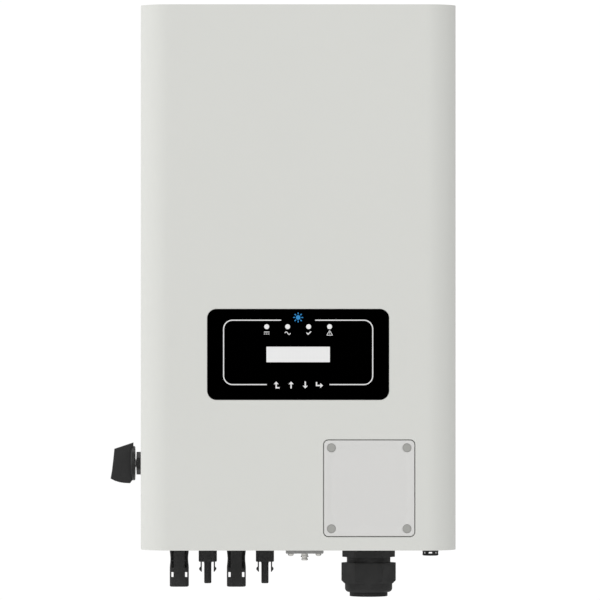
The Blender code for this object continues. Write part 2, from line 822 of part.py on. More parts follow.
def dc_isolator(parent, knob_parent):
    axis = (0, FITTING_Y, KNOB_Z)
    wall_inner = -(REAR_SIDE - REAR_WALL - GAP)
    half_depth = 0.024
    half_height = 0.028
    body_end = wall_inner + 0.046
    neck_end = -0.1650
    neck_radius = 0.0077
    bore_end = wall_inner + 0.030
    bm = bmesh.new()
    box(bm, (wall_inner, -half_depth, -half_height), (body_end, half_depth, half_height))
    body = make_piece("dc_switch_body", bm, "potting", parent, axis)
    bm = bmesh.new()
    rod(bm, neck_radius, "X", neck_end, wall_inner + REACH, (0, 0, 0), SMALL_STEPS)
    combine(body, bm, "UNION", axis)
    bm = bmesh.new()
    rod(bm, SHAFT_RADIUS + GAP, "X", neck_end - REACH, bore_end, (0, 0, 0), SMALL_STEPS)
    combine(body, bm, "DIFFERENCE", axis)

    nut_inner = -(REAR_SIDE + GAP)
    nut_outer = -0.1657
    nut_corner = 0.01175
    nut_bore = neck_radius + GAP
    bm = bmesh.new()
    tube(bm, nut_corner, nut_bore / 2, "X", nut_outer, nut_inner, (0, 0, 0), 6)
    nut = make_piece("dc_switch_nut", bm, "black_plastic", parent, axis)
    bm = bmesh.new()
    rod(bm, nut_bore, "X", nut_outer - REACH, nut_inner + REACH, (0, 0, 0), SMALL_STEPS)
    combine(nut, bm, "DIFFERENCE", axis)

    shaft_end = -(KNOB_INNER + 0.0090)
    bm = bmesh.new()
    rod(bm, SHAFT_RADIUS, "X", shaft_end, bore_end - 0.002, (0, 0, 0), SMALL_STEPS)
    make_piece("dc_switch_shaft", bm, "zinc_steel", knob_parent, axis)

    # Disc with a finger blade across it, tallest at the bottom.
    disc_radius = 0.0171
    disc_depth = 0.0042
    disc_edge = 0.0012
    disc = [
        (0, -KNOB_INNER - disc_depth),
        (disc_radius - disc_edge, -KNOB_INNER - disc_depth),
        (disc_radius, -KNOB_INNER - disc_depth + disc_edge),
        (disc_radius, -KNOB_INNER - disc_edge),
        (disc_radius - 3 * disc_edge, -KNOB_INNER - disc_edge / 4),
        (disc_radius / 2, -KNOB_INNER),
        (0, -KNOB_INNER),
    ]
    bm = bmesh.new()
    turned(bm, disc, "X", (0, 0, 0), 28)
    knob = make_piece("dc_knob", bm, "black_plastic", knob_parent, axis)
    blade = [
        (0.0024, 0.0150),
        (0.0024, 0.0205),
        (0.0206, 0.0143),
        (0.0213, 0.0077),
        (0.0231, -0.0076),
        (0.0249, -0.0158),
        (0.0199, -0.0181),
        (0.0156, -0.0194),
        (0.0105, -0.0202),
        (0.0052, -0.0205),
        (0.0026, -0.0170),
    ]
    blade_half = 0.0055
    blade_edge = 0.0012
    outline = [(-KNOB_INNER - out, height) for out, height in blade]
    bm = bmesh.new()
    prism(bm, outline, "Y", -blade_half, blade_half)
    long_edges = [edge for edge in bm.edges if abs(edge.verts[0].co.y - edge.verts[1].co.y) < 1e-6]
    bmesh.ops.bevel(bm, geom=long_edges, offset=blade_edge, segments=1, affect="EDGES")
    combine(knob, bm, "UNION", axis)
    bm = bmesh.new()
    rod(bm, SHAFT_RADIUS + GAP, "X", shaft_end - GAP, REACH - KNOB_INNER, (0, 0, 0), SMALL_STEPS)
    combine(knob, bm, "DIFFERENCE", axis)


def pv_connectors(parent):
    shell_end = -0.041
    waist = -0.016
    bore = 0.0041
    stem_top = 0.0125
    contact_top = 0.020
    shell_pin_end = shell_end + 0.008
    wide = rounded_rectangle((0.0194, 0.0194), 0.0062, (0, 0), 4)
    slim = rounded_rectangle((0.0180, 0.0180), 0.0056, (0, 0), 4)
    waist_low = waist - 0.003
    end_chamfer = 0.0008
    pin_hole = 0.00225
    slot_inner = 0.0057
    slot_outer = 0.0083
    slot_half = 0.0040
    window_high = -0.0260
    window_low = -0.0318
    for number, x in enumerate(PV_SHELL_X, start=1):
        place = (x, FITTING_Y, BODY_BASE)
        bm = bmesh.new()
        prism(bm, wide, "Z", waist, SEAT)
        shell = make_piece(f"pv_pin_shell_{number}", bm, "black_plastic", parent, place)
        bm = bmesh.new()
        prism(bm, slim, "Z", waist_low - 0.001, waist + 0.002)
        combine(shell, bm, "UNION", place)
        bm = bmesh.new()
        prism(bm, wide, "Z", shell_end, waist_low)
        ends = [edge for edge in bm.edges if all(v.co.z < shell_end + 1e-6 for v in edge.verts)]
        bmesh.ops.bevel(bm, geom=ends, offset=end_chamfer, segments=1, affect="EDGES")
        combine(shell, bm, "UNION", place)
        bm = bmesh.new()
        rod(bm, PV_STEM_RADIUS, "Z", SEAT - 0.003, stem_top, (0, 0, 0), SMALL_STEPS)
        combine(shell, bm, "UNION", place)
        bm = bmesh.new()
        bore_profile = [
            (0, shell_end - REACH),
            (bore, shell_end - REACH),
            (bore, waist),
            (pin_hole, waist),
            (pin_hole, stem_top + REACH),
            (0, stem_top + REACH),
        ]
        turned(bm, bore_profile, "Z", (0, 0, 0), SMALL_STEPS)
        for side in (-1, 1):
            inner, outer = sorted((side * slot_inner, side * slot_outer))
            box(bm, (inner, -slot_half, shell_end - REACH), (outer, slot_half, waist - 0.006))
        combine(shell, bm, "DIFFERENCE", place)

        # Openings from front to back that show the side slots.
        bm = bmesh.new()
        for side in (-1, 1):
            inner, outer = sorted((side * (slot_inner + 0.0001), side * (slot_outer - 0.0001)))
            box(bm, (inner, -0.015, window_low), (outer, 0.015, window_high))
        combine(shell, bm, "DIFFERENCE", place)

        pin = [
            (0, shell_pin_end),
            (0.0012, shell_pin_end),
            (0.00195, shell_pin_end + 0.001),
            (0.00195, contact_top),
            (0, contact_top),
        ]
        bm = bmesh.new()
        turned(bm, pin, "Z", (0, 0, 0), TINY_STEPS)
        make_piece(f"pv_contact_{2 * number - 1}", bm, "tin", parent, place)

    head_end = -0.0155
    head_chamfer = 0.0010
    probe_end = -0.0377
    nose_radius = 0.0037
    nose_chamfer = 0.0006
    socket_bore = 0.0027
    finger_half = 0.0035
    finger = [
        (0.0061, head_end + 0.003),
        (0.0061, -0.0259),
        (0.0068, -0.0259),
        (0.0088, -0.0235),
        (0.0088, -0.0222),
        (0.0074, -0.0207),
        (0.0074, head_end + 0.003),
    ]
    head = rounded_rectangle((0.0186, 0.0186), 0.0058, (0, 0), 4)
    for number, x in enumerate(PV_PROBE_X, start=1):
        place = (x, FITTING_Y, BODY_BASE)
        bm = bmesh.new()
        prism(bm, head, "Z", head_end, SEAT)
        ends = [edge for edge in bm.edges if all(v.co.z < head_end + 1e-6 for v in edge.verts)]
        bmesh.ops.bevel(bm, geom=ends, offset=head_chamfer, segments=1, affect="EDGES")
        probe = make_piece(f"pv_latch_probe_{number}", bm, "black_plastic", parent, place)
        bm = bmesh.new()
        rod(bm, PV_STEM_RADIUS, "Z", SEAT - 0.003, stem_top, (0, 0, 0), SMALL_STEPS)
        combine(probe, bm, "UNION", place)
        bm = bmesh.new()
        nose = [
            (0, probe_end),
            (nose_radius - nose_chamfer, probe_end),
            (nose_radius, probe_end + nose_chamfer),
            (nose_radius, head_end + 0.003),
            (0, head_end + 0.003),
        ]
        turned(bm, nose, "Z", (0, 0, 0), SMALL_STEPS)
        combine(probe, bm, "UNION", place)
        bm = bmesh.new()
        for side in (-1, 1):
            prism(bm, [(side * a, b) for a, b in finger], "Y", -finger_half, finger_half)
        combine(probe, bm, "UNION", place)
        bm = bmesh.new()
        rod(bm, socket_bore, "Z", probe_end - REACH, stem_top + REACH, (0, 0, 0), SMALL_STEPS)
        combine(probe, bm, "DIFFERENCE", place)

        tip = probe_end + 0.0015
        socket = [
            (0.0018, tip),
            (0.0024, tip),
            (0.0024, contact_top),
            (0, contact_top),
            (0, tip + 0.014),
            (0.0018, tip + 0.014),
        ]
        bm = bmesh.new()
        turned(bm, socket, "Z", (0, 0, 0), TINY_STEPS)
        make_piece(f"pv_contact_{2 * number}", bm, "tin", parent, place)

    # One plate inside the case holds all four connectors.
    low = BODY_BASE + INSIDE
    high = low + 0.002
    margin = 0.011
    half_depth = 0.012
    xs = PV_SHELL_X + PV_PROBE_X
    bm = bmesh.new()
    box(
        bm,
        (min(xs) - margin, FITTING_Y - half_depth, low),
        (max(xs) + margin, FITTING_Y + half_depth, high),
    )
    plate = make_piece("pv_retaining_plate", bm, "zinc_steel", parent)
    bm = bmesh.new()
    for x in xs:
        rod(bm, PV_HOLE_RADIUS, "Z", low - REACH, high + REACH, (x, FITTING_Y, 0), SMALL_STEPS)
    combine(plate, bm, "DIFFERENCE")


def comms_port(parent):
    place = (COMMS_X, COMMS_Y, BODY_BASE)
    plate_size = (0.0385, 0.022)
    plate_round = 0.0022
    seal_size = (0.0375, 0.021)
    seal_low = -0.0014
    plate_high = seal_low - GAP
    plate_low = -0.0059
    socket_hole = 0.0045
    screw_hole = 0.0020
    head_low = -0.0088
    bm = bmesh.new()
    prism(bm, rounded_rectangle(seal_size, COMMS_CORNER, (0, 0), 3), "Z", seal_low, SEAT)
    seal = make_piece("comms_gasket", bm, "rubber", parent, place)
    bm = bmesh.new()
    prism(bm, rounded_rectangle(plate_size, plate_round, (0, 0), 3), "Z", plate_low, plate_high)
    plate = make_piece("comms_plate", bm, "grey_steel", parent, place)
    for obj in (seal, plate):
        bm = bmesh.new()
        rod(bm, socket_hole, "Z", plate_low - REACH, SEAT + REACH, (0, 0, 0), SMALL_STEPS)
        for x in (-COMMS_SCREW_X, COMMS_SCREW_X):
            rod(bm, screw_hole, "Z", plate_low - REACH, SEAT + REACH, (x, 0, 0), TINY_STEPS)
        combine(obj, bm, "DIFFERENCE", place)

    head_high = plate_low - GAP
    screw = [
        (0, head_low),
        (0.0018, head_low),
        (0.0028, head_low + 0.0009),
        (0.0031, head_high),
        (0.0015, head_high),
        (0.0015, SEAT - GAP),
        (0, SEAT - GAP),
    ]
    for number, x in enumerate((-COMMS_SCREW_X, COMMS_SCREW_X), start=1):
        bm = bmesh.new()
        turned(bm, screw, "Z", (0, 0, 0), TINY_STEPS)
        make_piece(f"comms_screw_{number}", bm, "zinc_steel", parent, (COMMS_X + x, COMMS_Y, BODY_BASE))

    # Coaxial socket for an antenna, with two collars and a hollow end.
    tip = -0.0131
    socket = [
        (0.0020, tip),
        (0.0029, tip),
        (0.0034, tip + 0.0006),
        (0.0034, -0.0113),
        (0.0030, -0.0109),
        (0.0030, -0.0101),
        (0.0040, -0.0098),
        (0.0040, -0.0086),
        (0.0033, -0.0083),
        (0.0033, head_high),
        (0.0041, head_high),
        (0.0041, 0.010),
        (0, 0.010),
        (0, tip + 0.006),
        (0.0020, tip + 0.006),
    ]
    bm = bmesh.new()
    turned(bm, socket, "Z", (0, 0, 0), SMALL_STEPS)
    make_piece("antenna_socket", bm, "nickel", parent, place)


def gland_fixed(parent):
    place = (GLAND_X, FITTING_Y, BODY_BASE)
    flange_low = -0.0107
    flange_corner = 0.0269
    neck_low = -0.0340
    neck_radius = 0.0223
    overlap = flange_low + 0.002
    thread_top = 0.0150
    seal_seat = 0.0198
    cable_bore = 0.0160
    bm = bmesh.new()
    prism(bm, hexagon(flange_corner), "Z", flange_low, SEAT)
    body = make_piece("gland_body", bm, "black_plastic", parent, place)
    bm = bmesh.new()
    neck = [
        (0, neck_low),
        (neck_radius, neck_low),
        (neck_radius, overlap),
        (GLAND_THREAD_RADIUS, overlap),
        (GLAND_THREAD_RADIUS, thread_top),
        (0, thread_top),
    ]
    turned(bm, neck, "Z", (0, 0, 0))
    combine(body, bm, "UNION", place)
    bm = bmesh.new()
    bore = [
        (0, neck_low - REACH),
        (seal_seat, neck_low - REACH),
        (seal_seat, -0.0220),
        (cable_bore, -0.0180),
        (cable_bore, thread_top + REACH),
        (0, thread_top + REACH),
    ]
    turned(bm, bore, "Z", (0, 0, 0))
    combine(body, bm, "DIFFERENCE", place)

    washer_low = INSIDE
    washer_high = washer_low + 0.0015
    washer_radius = 0.0255
    bm = bmesh.new()
    tube(bm, washer_radius, GLAND_HOLE_RADIUS, "Z", washer_low, washer_high)
    make_piece("gland_washer", bm, "zinc_steel", parent, place)

    nut_low = washer_high + GAP
    nut_high = nut_low + 0.0065
    bm = bmesh.new()
    prism(bm, hexagon(flange_corner), "Z", nut_low, nut_high)
    nut = make_piece("gland_lock_nut", bm, "black_plastic", parent, place)
    bm = bmesh.new()
    rod(bm, GLAND_HOLE_RADIUS, "Z", nut_low - REACH, nut_high + REACH)
    combine(nut, bm, "DIFFERENCE", place)


def hexagon(corner_radius):
    return arc((0, 0), corner_radius, 0, 300, 5)


def gland_moving(seal_parent, nut_parent):
    place = (GLAND_X, FITTING_Y, BODY_BASE)
    seal_low = -0.0508
    seal_high = -0.0240
    seal_inner = 0.0140
    seal_outer = 0.01945
    seal_edge = 0.0006
    seal = [
        (seal_inner, seal_low),
        (seal_outer - seal_edge, seal_low),
        (seal_outer, seal_low + seal_edge),
        (seal_outer, seal_high),
        (seal_inner, seal_high),
    ]
    bm = bmesh.new()
    turned(bm, seal, "Z", (0, 0, 0))
    make_piece("gland_seal", bm, "rubber", seal_parent, place)

    # Domed compression nut: hexagonal grip with chamfered corners and a round collar.
    grip_low = -0.0377
    grip_high = -0.0164
    chamfer = 0.0031
    corner = 0.02785
    bm = bmesh.new()
    prism(bm, hexagon(corner), "Z", grip_low, grip_high)
    nut = make_piece("gland_dome_nut", bm, "black_plastic", nut_parent, place)
    bm = bmesh.new()
    barrel = [
        (0, grip_low - 0.001),
        (corner - chamfer - 0.001, grip_low - 0.001),
        (corner + 0.0005, grip_low + chamfer + 0.0005),
        (corner + 0.0005, grip_high - 0.001),
        (corner - 0.001, grip_high + 0.001),
        (0, grip_high + 0.001),
    ]
    turned(bm, barrel, "Z", (0, 0, 0))
    combine(nut, bm, "INTERSECT", place)
    collar_low = -0.0466
    collar_radius = 0.02425
    mouth_radius = 0.0198
    round_off = collar_radius - mouth_radius - 0.0004
    collar = [(0, collar_low)]
    collar += arc((collar_radius - round_off, collar_low + round_off), round_off, 270, 360, 4)
    collar += [(collar_radius, grip_low + 0.002), (0, grip_low + 0.002)]
    bm = bmesh.new()
    turned(bm, collar, "Z", (0, 0, 0))
    combine(nut, bm, "UNION", place)
    bm = bmesh.new()
    thread_radius = 0.0226
    bore = [
        (0, collar_low - REACH),
        (mouth_radius, collar_low - REACH),
        (mouth_radius, -0.0430),
        (thread_radius, -0.0400),
        (thread_radius, grip_high + REACH),
        (0, grip_high + REACH),
    ]
    turned(bm, bore, "Z", (0, 0, 0))
    combine(nut, bm, "DIFFERENCE", place)


def vent_plug(parent):
    place = (VENT_X, FITTING_Y, BODY_BASE)
    cap_low = -0.0093
    cap_radius = 0.0082
    cap_edge = 0.001
    stem_top = 0.012
    cap = [
        (0, cap_low),
        (cap_radius - cap_edge, cap_low),
        (cap_radius, cap_low + cap_edge),
        (cap_radius, SEAT),
        (VENT_STEM_RADIUS, SEAT),
        (VENT_STEM_RADIUS, stem_top),
        (0, stem_top),
    ]
    bm = bmesh.new()
    turned(bm, cap, "Z", (0, 0, 0), SMALL_STEPS)
    plug = make_piece("vent_plug", bm, "black_plastic", parent, place)

    # One slot goes through from front to back, and the two side slots are blind.
    slot_half = 0.0019
    slot_low = -0.0076
    slot_high = -0.0054
    reach = cap_radius + REACH
    blind = 0.0062
    bm = bmesh.new()
    box(bm, (-slot_half, -reach, slot_low), (slot_half, reach, slot_high))
    combine(plug, bm, "DIFFERENCE", place)
    bm = bmesh.new()
    for inner, outer in ((-reach, -blind), (blind, reach)):
        box(bm, (inner, -slot_half, slot_low), (outer, slot_half, slot_high))
    combine(plug, bm, "DIFFERENCE", place)


def build_model():
    clear_scene()
    bracket = make_empty("bracket")
    inverter = make_empty("inverter", parent=bracket)
    cover_slide = make_empty("ac_cover_slide", (BAY_X, FRONT, BAY_Z), inverter)
    knob_axis = make_empty("dc_knob_axis", (-KNOB_INNER, FITTING_Y, KNOB_Z), inverter)
    gland_axis = make_empty("gland_axis", (GLAND_X, FITTING_Y, BODY_BASE), inverter)

    wall_bracket(bracket)
    hanger_plate(inverter)
    lock_screw(inverter)
    front_cover(inverter)
    rear_housing(inverter)
    cover_gasket(inverter)
    heatsink(inverter)
    display_overlay(inverter)
    led_lenses(inverter)
    lcd_pieces(inverter)
    display_board(inverter)
    menu_keys(inverter)
    bay_cover(cover_slide)
    bay_inside(inverter)
    power_electronics(inverter)
    dc_isolator(inverter, knob_axis)
    pv_connectors(inverter)
    comms_port(inverter)
    gland_fixed(inverter)
    gland_moving(gland_axis, gland_axis)
    vent_plug(inverter)


build_model()
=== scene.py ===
import math

import bmesh
import bpy
from mathutils import Matrix, Vector


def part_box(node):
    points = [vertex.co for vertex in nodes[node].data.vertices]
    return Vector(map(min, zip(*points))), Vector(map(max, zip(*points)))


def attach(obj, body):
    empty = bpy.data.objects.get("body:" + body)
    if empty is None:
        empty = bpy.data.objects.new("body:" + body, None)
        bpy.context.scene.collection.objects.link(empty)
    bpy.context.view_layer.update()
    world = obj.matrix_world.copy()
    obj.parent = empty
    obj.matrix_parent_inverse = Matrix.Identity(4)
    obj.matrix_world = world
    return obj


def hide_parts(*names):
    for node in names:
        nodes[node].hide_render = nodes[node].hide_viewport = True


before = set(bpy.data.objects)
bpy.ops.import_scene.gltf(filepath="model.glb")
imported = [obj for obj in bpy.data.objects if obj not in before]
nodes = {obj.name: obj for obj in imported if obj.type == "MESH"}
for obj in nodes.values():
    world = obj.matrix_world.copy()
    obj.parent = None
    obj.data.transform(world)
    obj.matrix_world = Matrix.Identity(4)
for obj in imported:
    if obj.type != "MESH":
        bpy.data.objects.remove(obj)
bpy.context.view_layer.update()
print("frame loaded:", len(nodes), "nodes")

axisOf = {"X": Vector((1, 0, 0)), "Y": Vector((0, 1, 0)), "Z": Vector((0, 0, 1))}
sideOf = {"X": Vector((0, 0, 1)), "Y": Vector((1, 0, 0)), "Z": Vector((1, 0, 0))}
upOf = {"X": Vector((0, 1, 0)), "Y": Vector((0, 0, 1)), "Z": Vector((0, 1, 0))}


def middle(node):
    low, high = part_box(node)
    return (low + high) / 2


def sizeOf(node):
    low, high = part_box(node)
    return high - low


# places that the pieces share, all read from the frame
caseLow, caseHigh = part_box("front_cover")
rearLow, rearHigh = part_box("rear_housing")
faceY = caseLow.y
baseZ = caseLow.z
knobAxis = middle("dc_switch_shaft")
panelMiddle = middle("display_overlay")
bayMiddle = middle("ac_cover")
lampNames = ("dc", "ac", "normal", "alarm")
keyNames = ("back", "up", "down", "enter")
reach = 0.005


class Wire:
    # carries one shader socket, so that patterns read as expressions
    def __init__(self, tree, socket):
        self.tree = tree
        self.socket = socket

    def node(self, kind, settings, sockets, output=0):
        made = self.tree.nodes.new(kind)
        for name, value in settings.items():
            setattr(made, name, value)
        for key, value in sockets.items():
            if isinstance(value, Wire):
                self.tree.links.new(value.socket, made.inputs[key])
            else:
                made.inputs[key].default_value = value
        return Wire(self.tree, made.outputs[output])

    def maths(self, operation, first, second):
        return self.node("ShaderNodeMath", {"operation": operation}, {0: first, 1: second})

    def between(self, low, high):
        # 0 below low, 1 above high and a soft step in between
        sockets = {"Value": self, "From Min": low, "From Max": high}
        return self.node("ShaderNodeMapRange", {"interpolation_type": "SMOOTHSTEP"}, sockets)

    def stretched(self, scale):
        return self.node("ShaderNodeMapping", {}, {"Vector": self, "Scale": scale})

    def noise(self, scale, detail=2.0):
        return self.node("ShaderNodeTexNoise", {}, {"Vector": self, "Scale": scale, "Detail": detail})

    def tint(self, dark, light):
        sockets = {0: self, 6: (*dark, 1), 7: (*light, 1)}
        return self.node("ShaderNodeMix", {"data_type": "RGBA"}, sockets, 2)

    def paint(self, socket):
        self.tree.links.new(self.socket, socket)


for label, operation in {"add": "ADD", "sub": "SUBTRACT", "mul": "MULTIPLY"}.items():
    setattr(Wire, f"__{label}__", lambda self, other, kind=operation: self.maths(kind, self, other))
    setattr(Wire, f"__r{label}__", lambda self, other, kind=operation: self.maths(kind, other, self))


def newFinish(name, fixed):
    material = bpy.data.materials.new(name)
    material.use_nodes = True
    tree = material.node_tree
    shader = tree.nodes["Principled BSDF"]
    for key, value in fixed.items():
        shader.inputs[key].default_value = value
    return material, Wire(tree, tree.nodes.new("ShaderNodeTexCoord").outputs["Object"])


def coat(material, look, tone, shades, roughness=None, relief=None, depth=0.0):
    # the tone runs between two shades of the colour, and the relief stands out by the depth
    shader = material.node_tree.nodes["Principled BSDF"]
    dark, light = [tuple(part * factor for part in look["colour"]) for factor in shades]
    tone.tint(dark, light).paint(shader.inputs["Base Color"])
    if roughness:
        roughness.paint(shader.inputs["Roughness"])
    if relief:
        sockets = {"Distance": depth, "Height": relief}
        relief.node("ShaderNodeBump", {}, sockets).paint(shader.inputs["Normal"])
    return material


def powderCoat(name, look):
    # cured powder: orange peel, a finer fleck and a slow drift of the shade
    material, place = newFinish(name, {"Specular IOR Level": 0.3})
    fleck = place.noise(look["fleck"], 1.0)
    tone = place.noise(7.0, 3.0) * 0.65 + fleck * 0.35
    relief = place.noise(look["peel"]) * 0.7 + fleck * 0.3
    roughness = look["roughness"] - 0.05 + fleck * 0.1
    return coat(material, look, tone, (0.982, 1.016), roughness, relief, look["depth"])


def mouldedPlastic(name, look):
    # spark-eroded grain, a little smoother where it has been handled
    material, place = newFinish(name, {"Specular IOR Level": look["shine"]})
    grain = place.noise(look["grain"], 3.0)
    worn = place.noise(60.0, 3.0).between(0.3, 0.75)
    roughness = look["roughness"] + grain * 0.12 - worn * 0.05
    return coat(material, look, worn, (0.92, 1.1), roughness, grain, look["depth"])


def zincPlate(name, look):
    # plated sheet: soft crystal patches under fine rolling lines
    material, place = newFinish(name, {"Metallic": 1.0})
    cells = place.node("ShaderNodeTexVoronoi", {}, {"Vector": place, "Scale": look["crystal"]}, 1)
    patch = cells.node("ShaderNodeSeparateColor", {}, {"Color": cells})
    lines = place.stretched((60.0, 1400.0, 1400.0)).noise(1.0)
    roughness = look["roughness"] + patch * 0.1 + lines * 0.1
    return coat(material, look, patch, (0.86, 1.08), roughness, lines, 0.00003)


def drawnAluminium(name, look):
    # extruded bar: die lines run along its height
    material, place = newFinish(name, {"Metallic": 0.9})
    lines = place.stretched((1600.0, 1600.0, 14.0)).noise(1.0, 3.0)
    tone = lines * 0.5 + place.noise(30.0, 3.0) * 0.5
    return coat(material, look, tone, (0.82, 1.1), look["roughness"] + lines * 0.2, lines, 0.00006)


def turnedMetal(name, look):
    # bright metal with fine tool rings
    material, place = newFinish(name, {"Metallic": look.get("metallic", 1.0)})
    rings = place.stretched(look["rings"]).noise(1.0)
    return coat(material, look, rings, (0.85, 1.1), look["roughness"] + rings * 0.15, rings, 0.00002)


def rubberSeal(name, look):
    material, place = newFinish(name, {"Specular IOR Level": 0.2})
    bloom = place.noise(55.0, 4.0)
    relief = place.noise(1500.0)
    return coat(material, look, bloom, (0.85, 1.25), look["roughness"] + bloom * 0.15, relief, 0.00004)


def printedFilm(name, look):
    # hard-coated film, printed from behind
    material, place = newFinish(name, {"Specular IOR Level": look["shine"]})
    wave = place.noise(45.0)
    texture = place.noise(2600.0, 1.0)
    relief = texture * 0.5 + wave * 0.5
    return coat(material, look, texture, (0.96, 1.03), look["roughness"] + wave * 0.08, relief, 0.00001)


def liquidCrystal(name, look):
    # pale panel with faint columns of unlit characters
    material, place = newFinish(name, {"Specular IOR Level": 0.5})
    split = place.node("ShaderNodeSeparateXYZ", {}, {0: place})
    columns = split.maths("FRACT", split * (1.0 / look["pitch"]), 0.0)
    cell = columns.between(0.04, 0.10) - columns.between(0.86, 0.92)
    wash = place.noise(60.0)
    return coat(material, look, wash * 0.5 + cell * 0.5, (1.006, 0.99), 0.18 + wash * 0.06)


def screenInk(name, look):
    # nearly flat, with the small pits that the mesh leaves
    material, place = newFinish(name, {"Specular IOR Level": 0.2, "Roughness": 0.55})
    return coat(material, look, place.noise(3200.0, 1.0), (0.93, 1.03))


def circuitBoard(name, look):
    # solder resist over copper tracks
    material, place = newFinish(name, {})
    sockets = {"Vector": place, "Scale": 130.0}
    edge = place.node("ShaderNodeTexVoronoi", {"feature": "DISTANCE_TO_EDGE"}, sockets)
    bare = edge.between(0.04, 0.09)
    return coat(material, look, bare, (1.9, 1.0), 0.5 - bare * 0.15, 1.0 - bare, 0.00005)


powder = {"roughness": 0.52, "peel": 420.0, "fleck": 2400.0, "depth": 0.00005}
finePowder = {"roughness": 0.5, "peel": 900.0, "fleck": 3000.0, "depth": 0.00003}
matte = {"roughness": 0.5, "shine": 0.04, "grain": 1300.0, "depth": 0.00003}
satin = {"roughness": 0.5, "shine": 0.4, "grain": 1000.0, "depth": 0.00004}

finishes = {
    "powder": powderCoat("powderLightGrey", {**powder, "colour": (0.695, 0.700, 0.668)}),
    "coverPowder": powderCoat("powderCoverGrey", {**powder, "colour": (0.688, 0.685, 0.67)}),
    "capPaint": powderCoat("capGrey", {**finePowder, "colour": (0.372, 0.372, 0.352)}),
    "plateGrey": powderCoat("plateGrey", {**finePowder, "colour": (0.318, 0.316, 0.310)}),
    "black": mouldedPlastic("matteBlack", {**matte, "colour": (0.0365, 0.0365, 0.0365)}),
    "blackGloss": mouldedPlastic(
        "satinBlack", {**matte, "colour": (0.0095, 0.0095, 0.0095), "roughness": 0.32, "shine": 0.35}
    ),
    "darkCasing": mouldedPlastic("darkCasing", {**satin, "colour": (0.04, 0.04, 0.042)}),
    "terminal": mouldedPlastic("terminalGrey", {**satin, "colour": (0.24, 0.27, 0.25)}),
    "sheet": mouldedPlastic("insulatingSheet", {**satin, "colour": (0.72, 0.72, 0.70)}),
    "ribbon": mouldedPlastic("ribbonGrey", {**satin, "colour": (0.42, 0.42, 0.45)}),
    "sleeve": mouldedPlastic("sleeveBlue", {**satin, "colour": (0.02, 0.03, 0.10)}),
    "core": mouldedPlastic("coreTape", {**satin, "colour": (0.45, 0.37, 0.10)}),
    "film": printedFilm("filmBlack", {"colour": (0.0, 0.0, 0.0), "roughness": 0.35, "shine": 0.001}),
    "lens": printedFilm("lensFrost", {"colour": (0.89, 0.89, 0.89), "roughness": 0.4, "shine": 0.5}),
    "lcd": liquidCrystal("lcdPale", {"colour": (0.85, 0.852, 0.85), "pitch": 0.0035}),
    "inkWhite": screenInk("inkWhite", {"colour": (0.80, 0.80, 0.80)}),
    "inkBlue": screenInk("inkBlue", {"colour": (0.03, 0.27, 0.62)}),
    "zinc": zincPlate("zincPlate", {"colour": (0.62, 0.63, 0.64), "roughness": 0.28, "crystal": 160.0}),
    "aluminium": drawnAluminium("drawnAluminium", {"colour": (0.62, 0.63, 0.64), "roughness": 0.32}),
    "nickel": turnedMetal(
        "nickelTurned", {"colour": (0.64, 0.63, 0.60), "roughness": 0.2, "rings": (40.0, 40.0, 5000.0)}
    ),
    "tin": turnedMetal(
        "tinTurned", {"colour": (0.72, 0.72, 0.70), "roughness": 0.2, "rings": (60.0, 60.0, 4000.0)}
    ),
    "shaft": turnedMetal(
        "shaftBright",
        {"colour": (0.88, 0.88, 0.87), "roughness": 0.4, "rings": (4000.0, 60.0, 60.0), "metallic": 0.0},
    ),
    "copper": turnedMetal(
        "copperWire", {"colour": (0.72, 0.27, 0.11), "roughness": 0.22, "rings": (900.0, 900.0, 900.0)}
    ),
    "rubber": rubberSeal("rubberBlack", {"colour": (0.016, 0.016, 0.016), "roughness": 0.62}),
    "board": circuitBoard("solderResist", {"colour": (0.012, 0.10, 0.035)}),
}
print("finishes made:", len(finishes))


def arcPoints(centre, radius, start, end, steps):
    points = []
    for step in range(steps + 1):
        angle = math.radians(start + (end - start) * step / steps)
        points.append((centre[0] + radius * math.cos(angle), centre[1] + radius * math.sin(angle)))
    return points


def roundedOutline(size, radius, centre=(0, 0), steps=10):
    across = size[0] / 2 - radius
    along = size[1] / 2 - radius
    outline = []
    corners = ((across, along), (-across, along), (-across, -along), (across, -along))
    for quarter, (a, b) in enumerate(corners):
        start = quarter * 90
        outline += arcPoints((centre[0] + a, centre[1] + b), radius, start, start + 90, steps)
    return outline


def filleted(points, radius, steps=4, closed=True):
    # rounds the corners of a line of (a, b) or (a, b, own radius) points
    corners = [Vector(point[:2]) for point in points]
    count = len(corners)
    rounded = []
    for index, corner in enumerate(corners):
        own = points[index][2] if len(points[index]) > 2 else radius
        atEnd = not closed and index in (0, count - 1)
        before = corners[index - 1] - corner
        after = corners[(index + 1) % count] - corner
        if atEnd or own <= 0 or before.length < 1e-9 or after.length < 1e-9:
            rounded.append(tuple(corner))
            continue
        opening = before.angle(after)
        if opening > math.pi - 0.02:
            rounded.append(tuple(corner))
            continue
        reach = min(own / math.tan(opening / 2), before.length * 0.49, after.length * 0.49)
        start = corner + before.normalized() * reach
        end = corner + after.normalized() * reach
        for step in range(steps + 1):
            t = step / steps
            weight = math.sin(opening / 2)
            bend = (1 - t) ** 2 * start + 2 * t * (1 - t) * weight * corner + t ** 2 * end
            rounded.append(tuple(bend / ((1 - t) ** 2 + 2 * t * (1 - t) * weight + t ** 2)))
    return rounded


def addPrism(bm, outline, axis, low, high):
    places = {
        "X": lambda a, b, level: (level, a, b),
        "Y": lambda a, b, level: (a, level, b),
        "Z": lambda a, b, level: (a, b, level),
    }
    rings = [[bm.verts.new(places[axis](a, b, level)) for a, b in outline] for level in (low, high)]
    for ring in rings:
        bm.faces.new(ring)
    bridge(bm, rings)


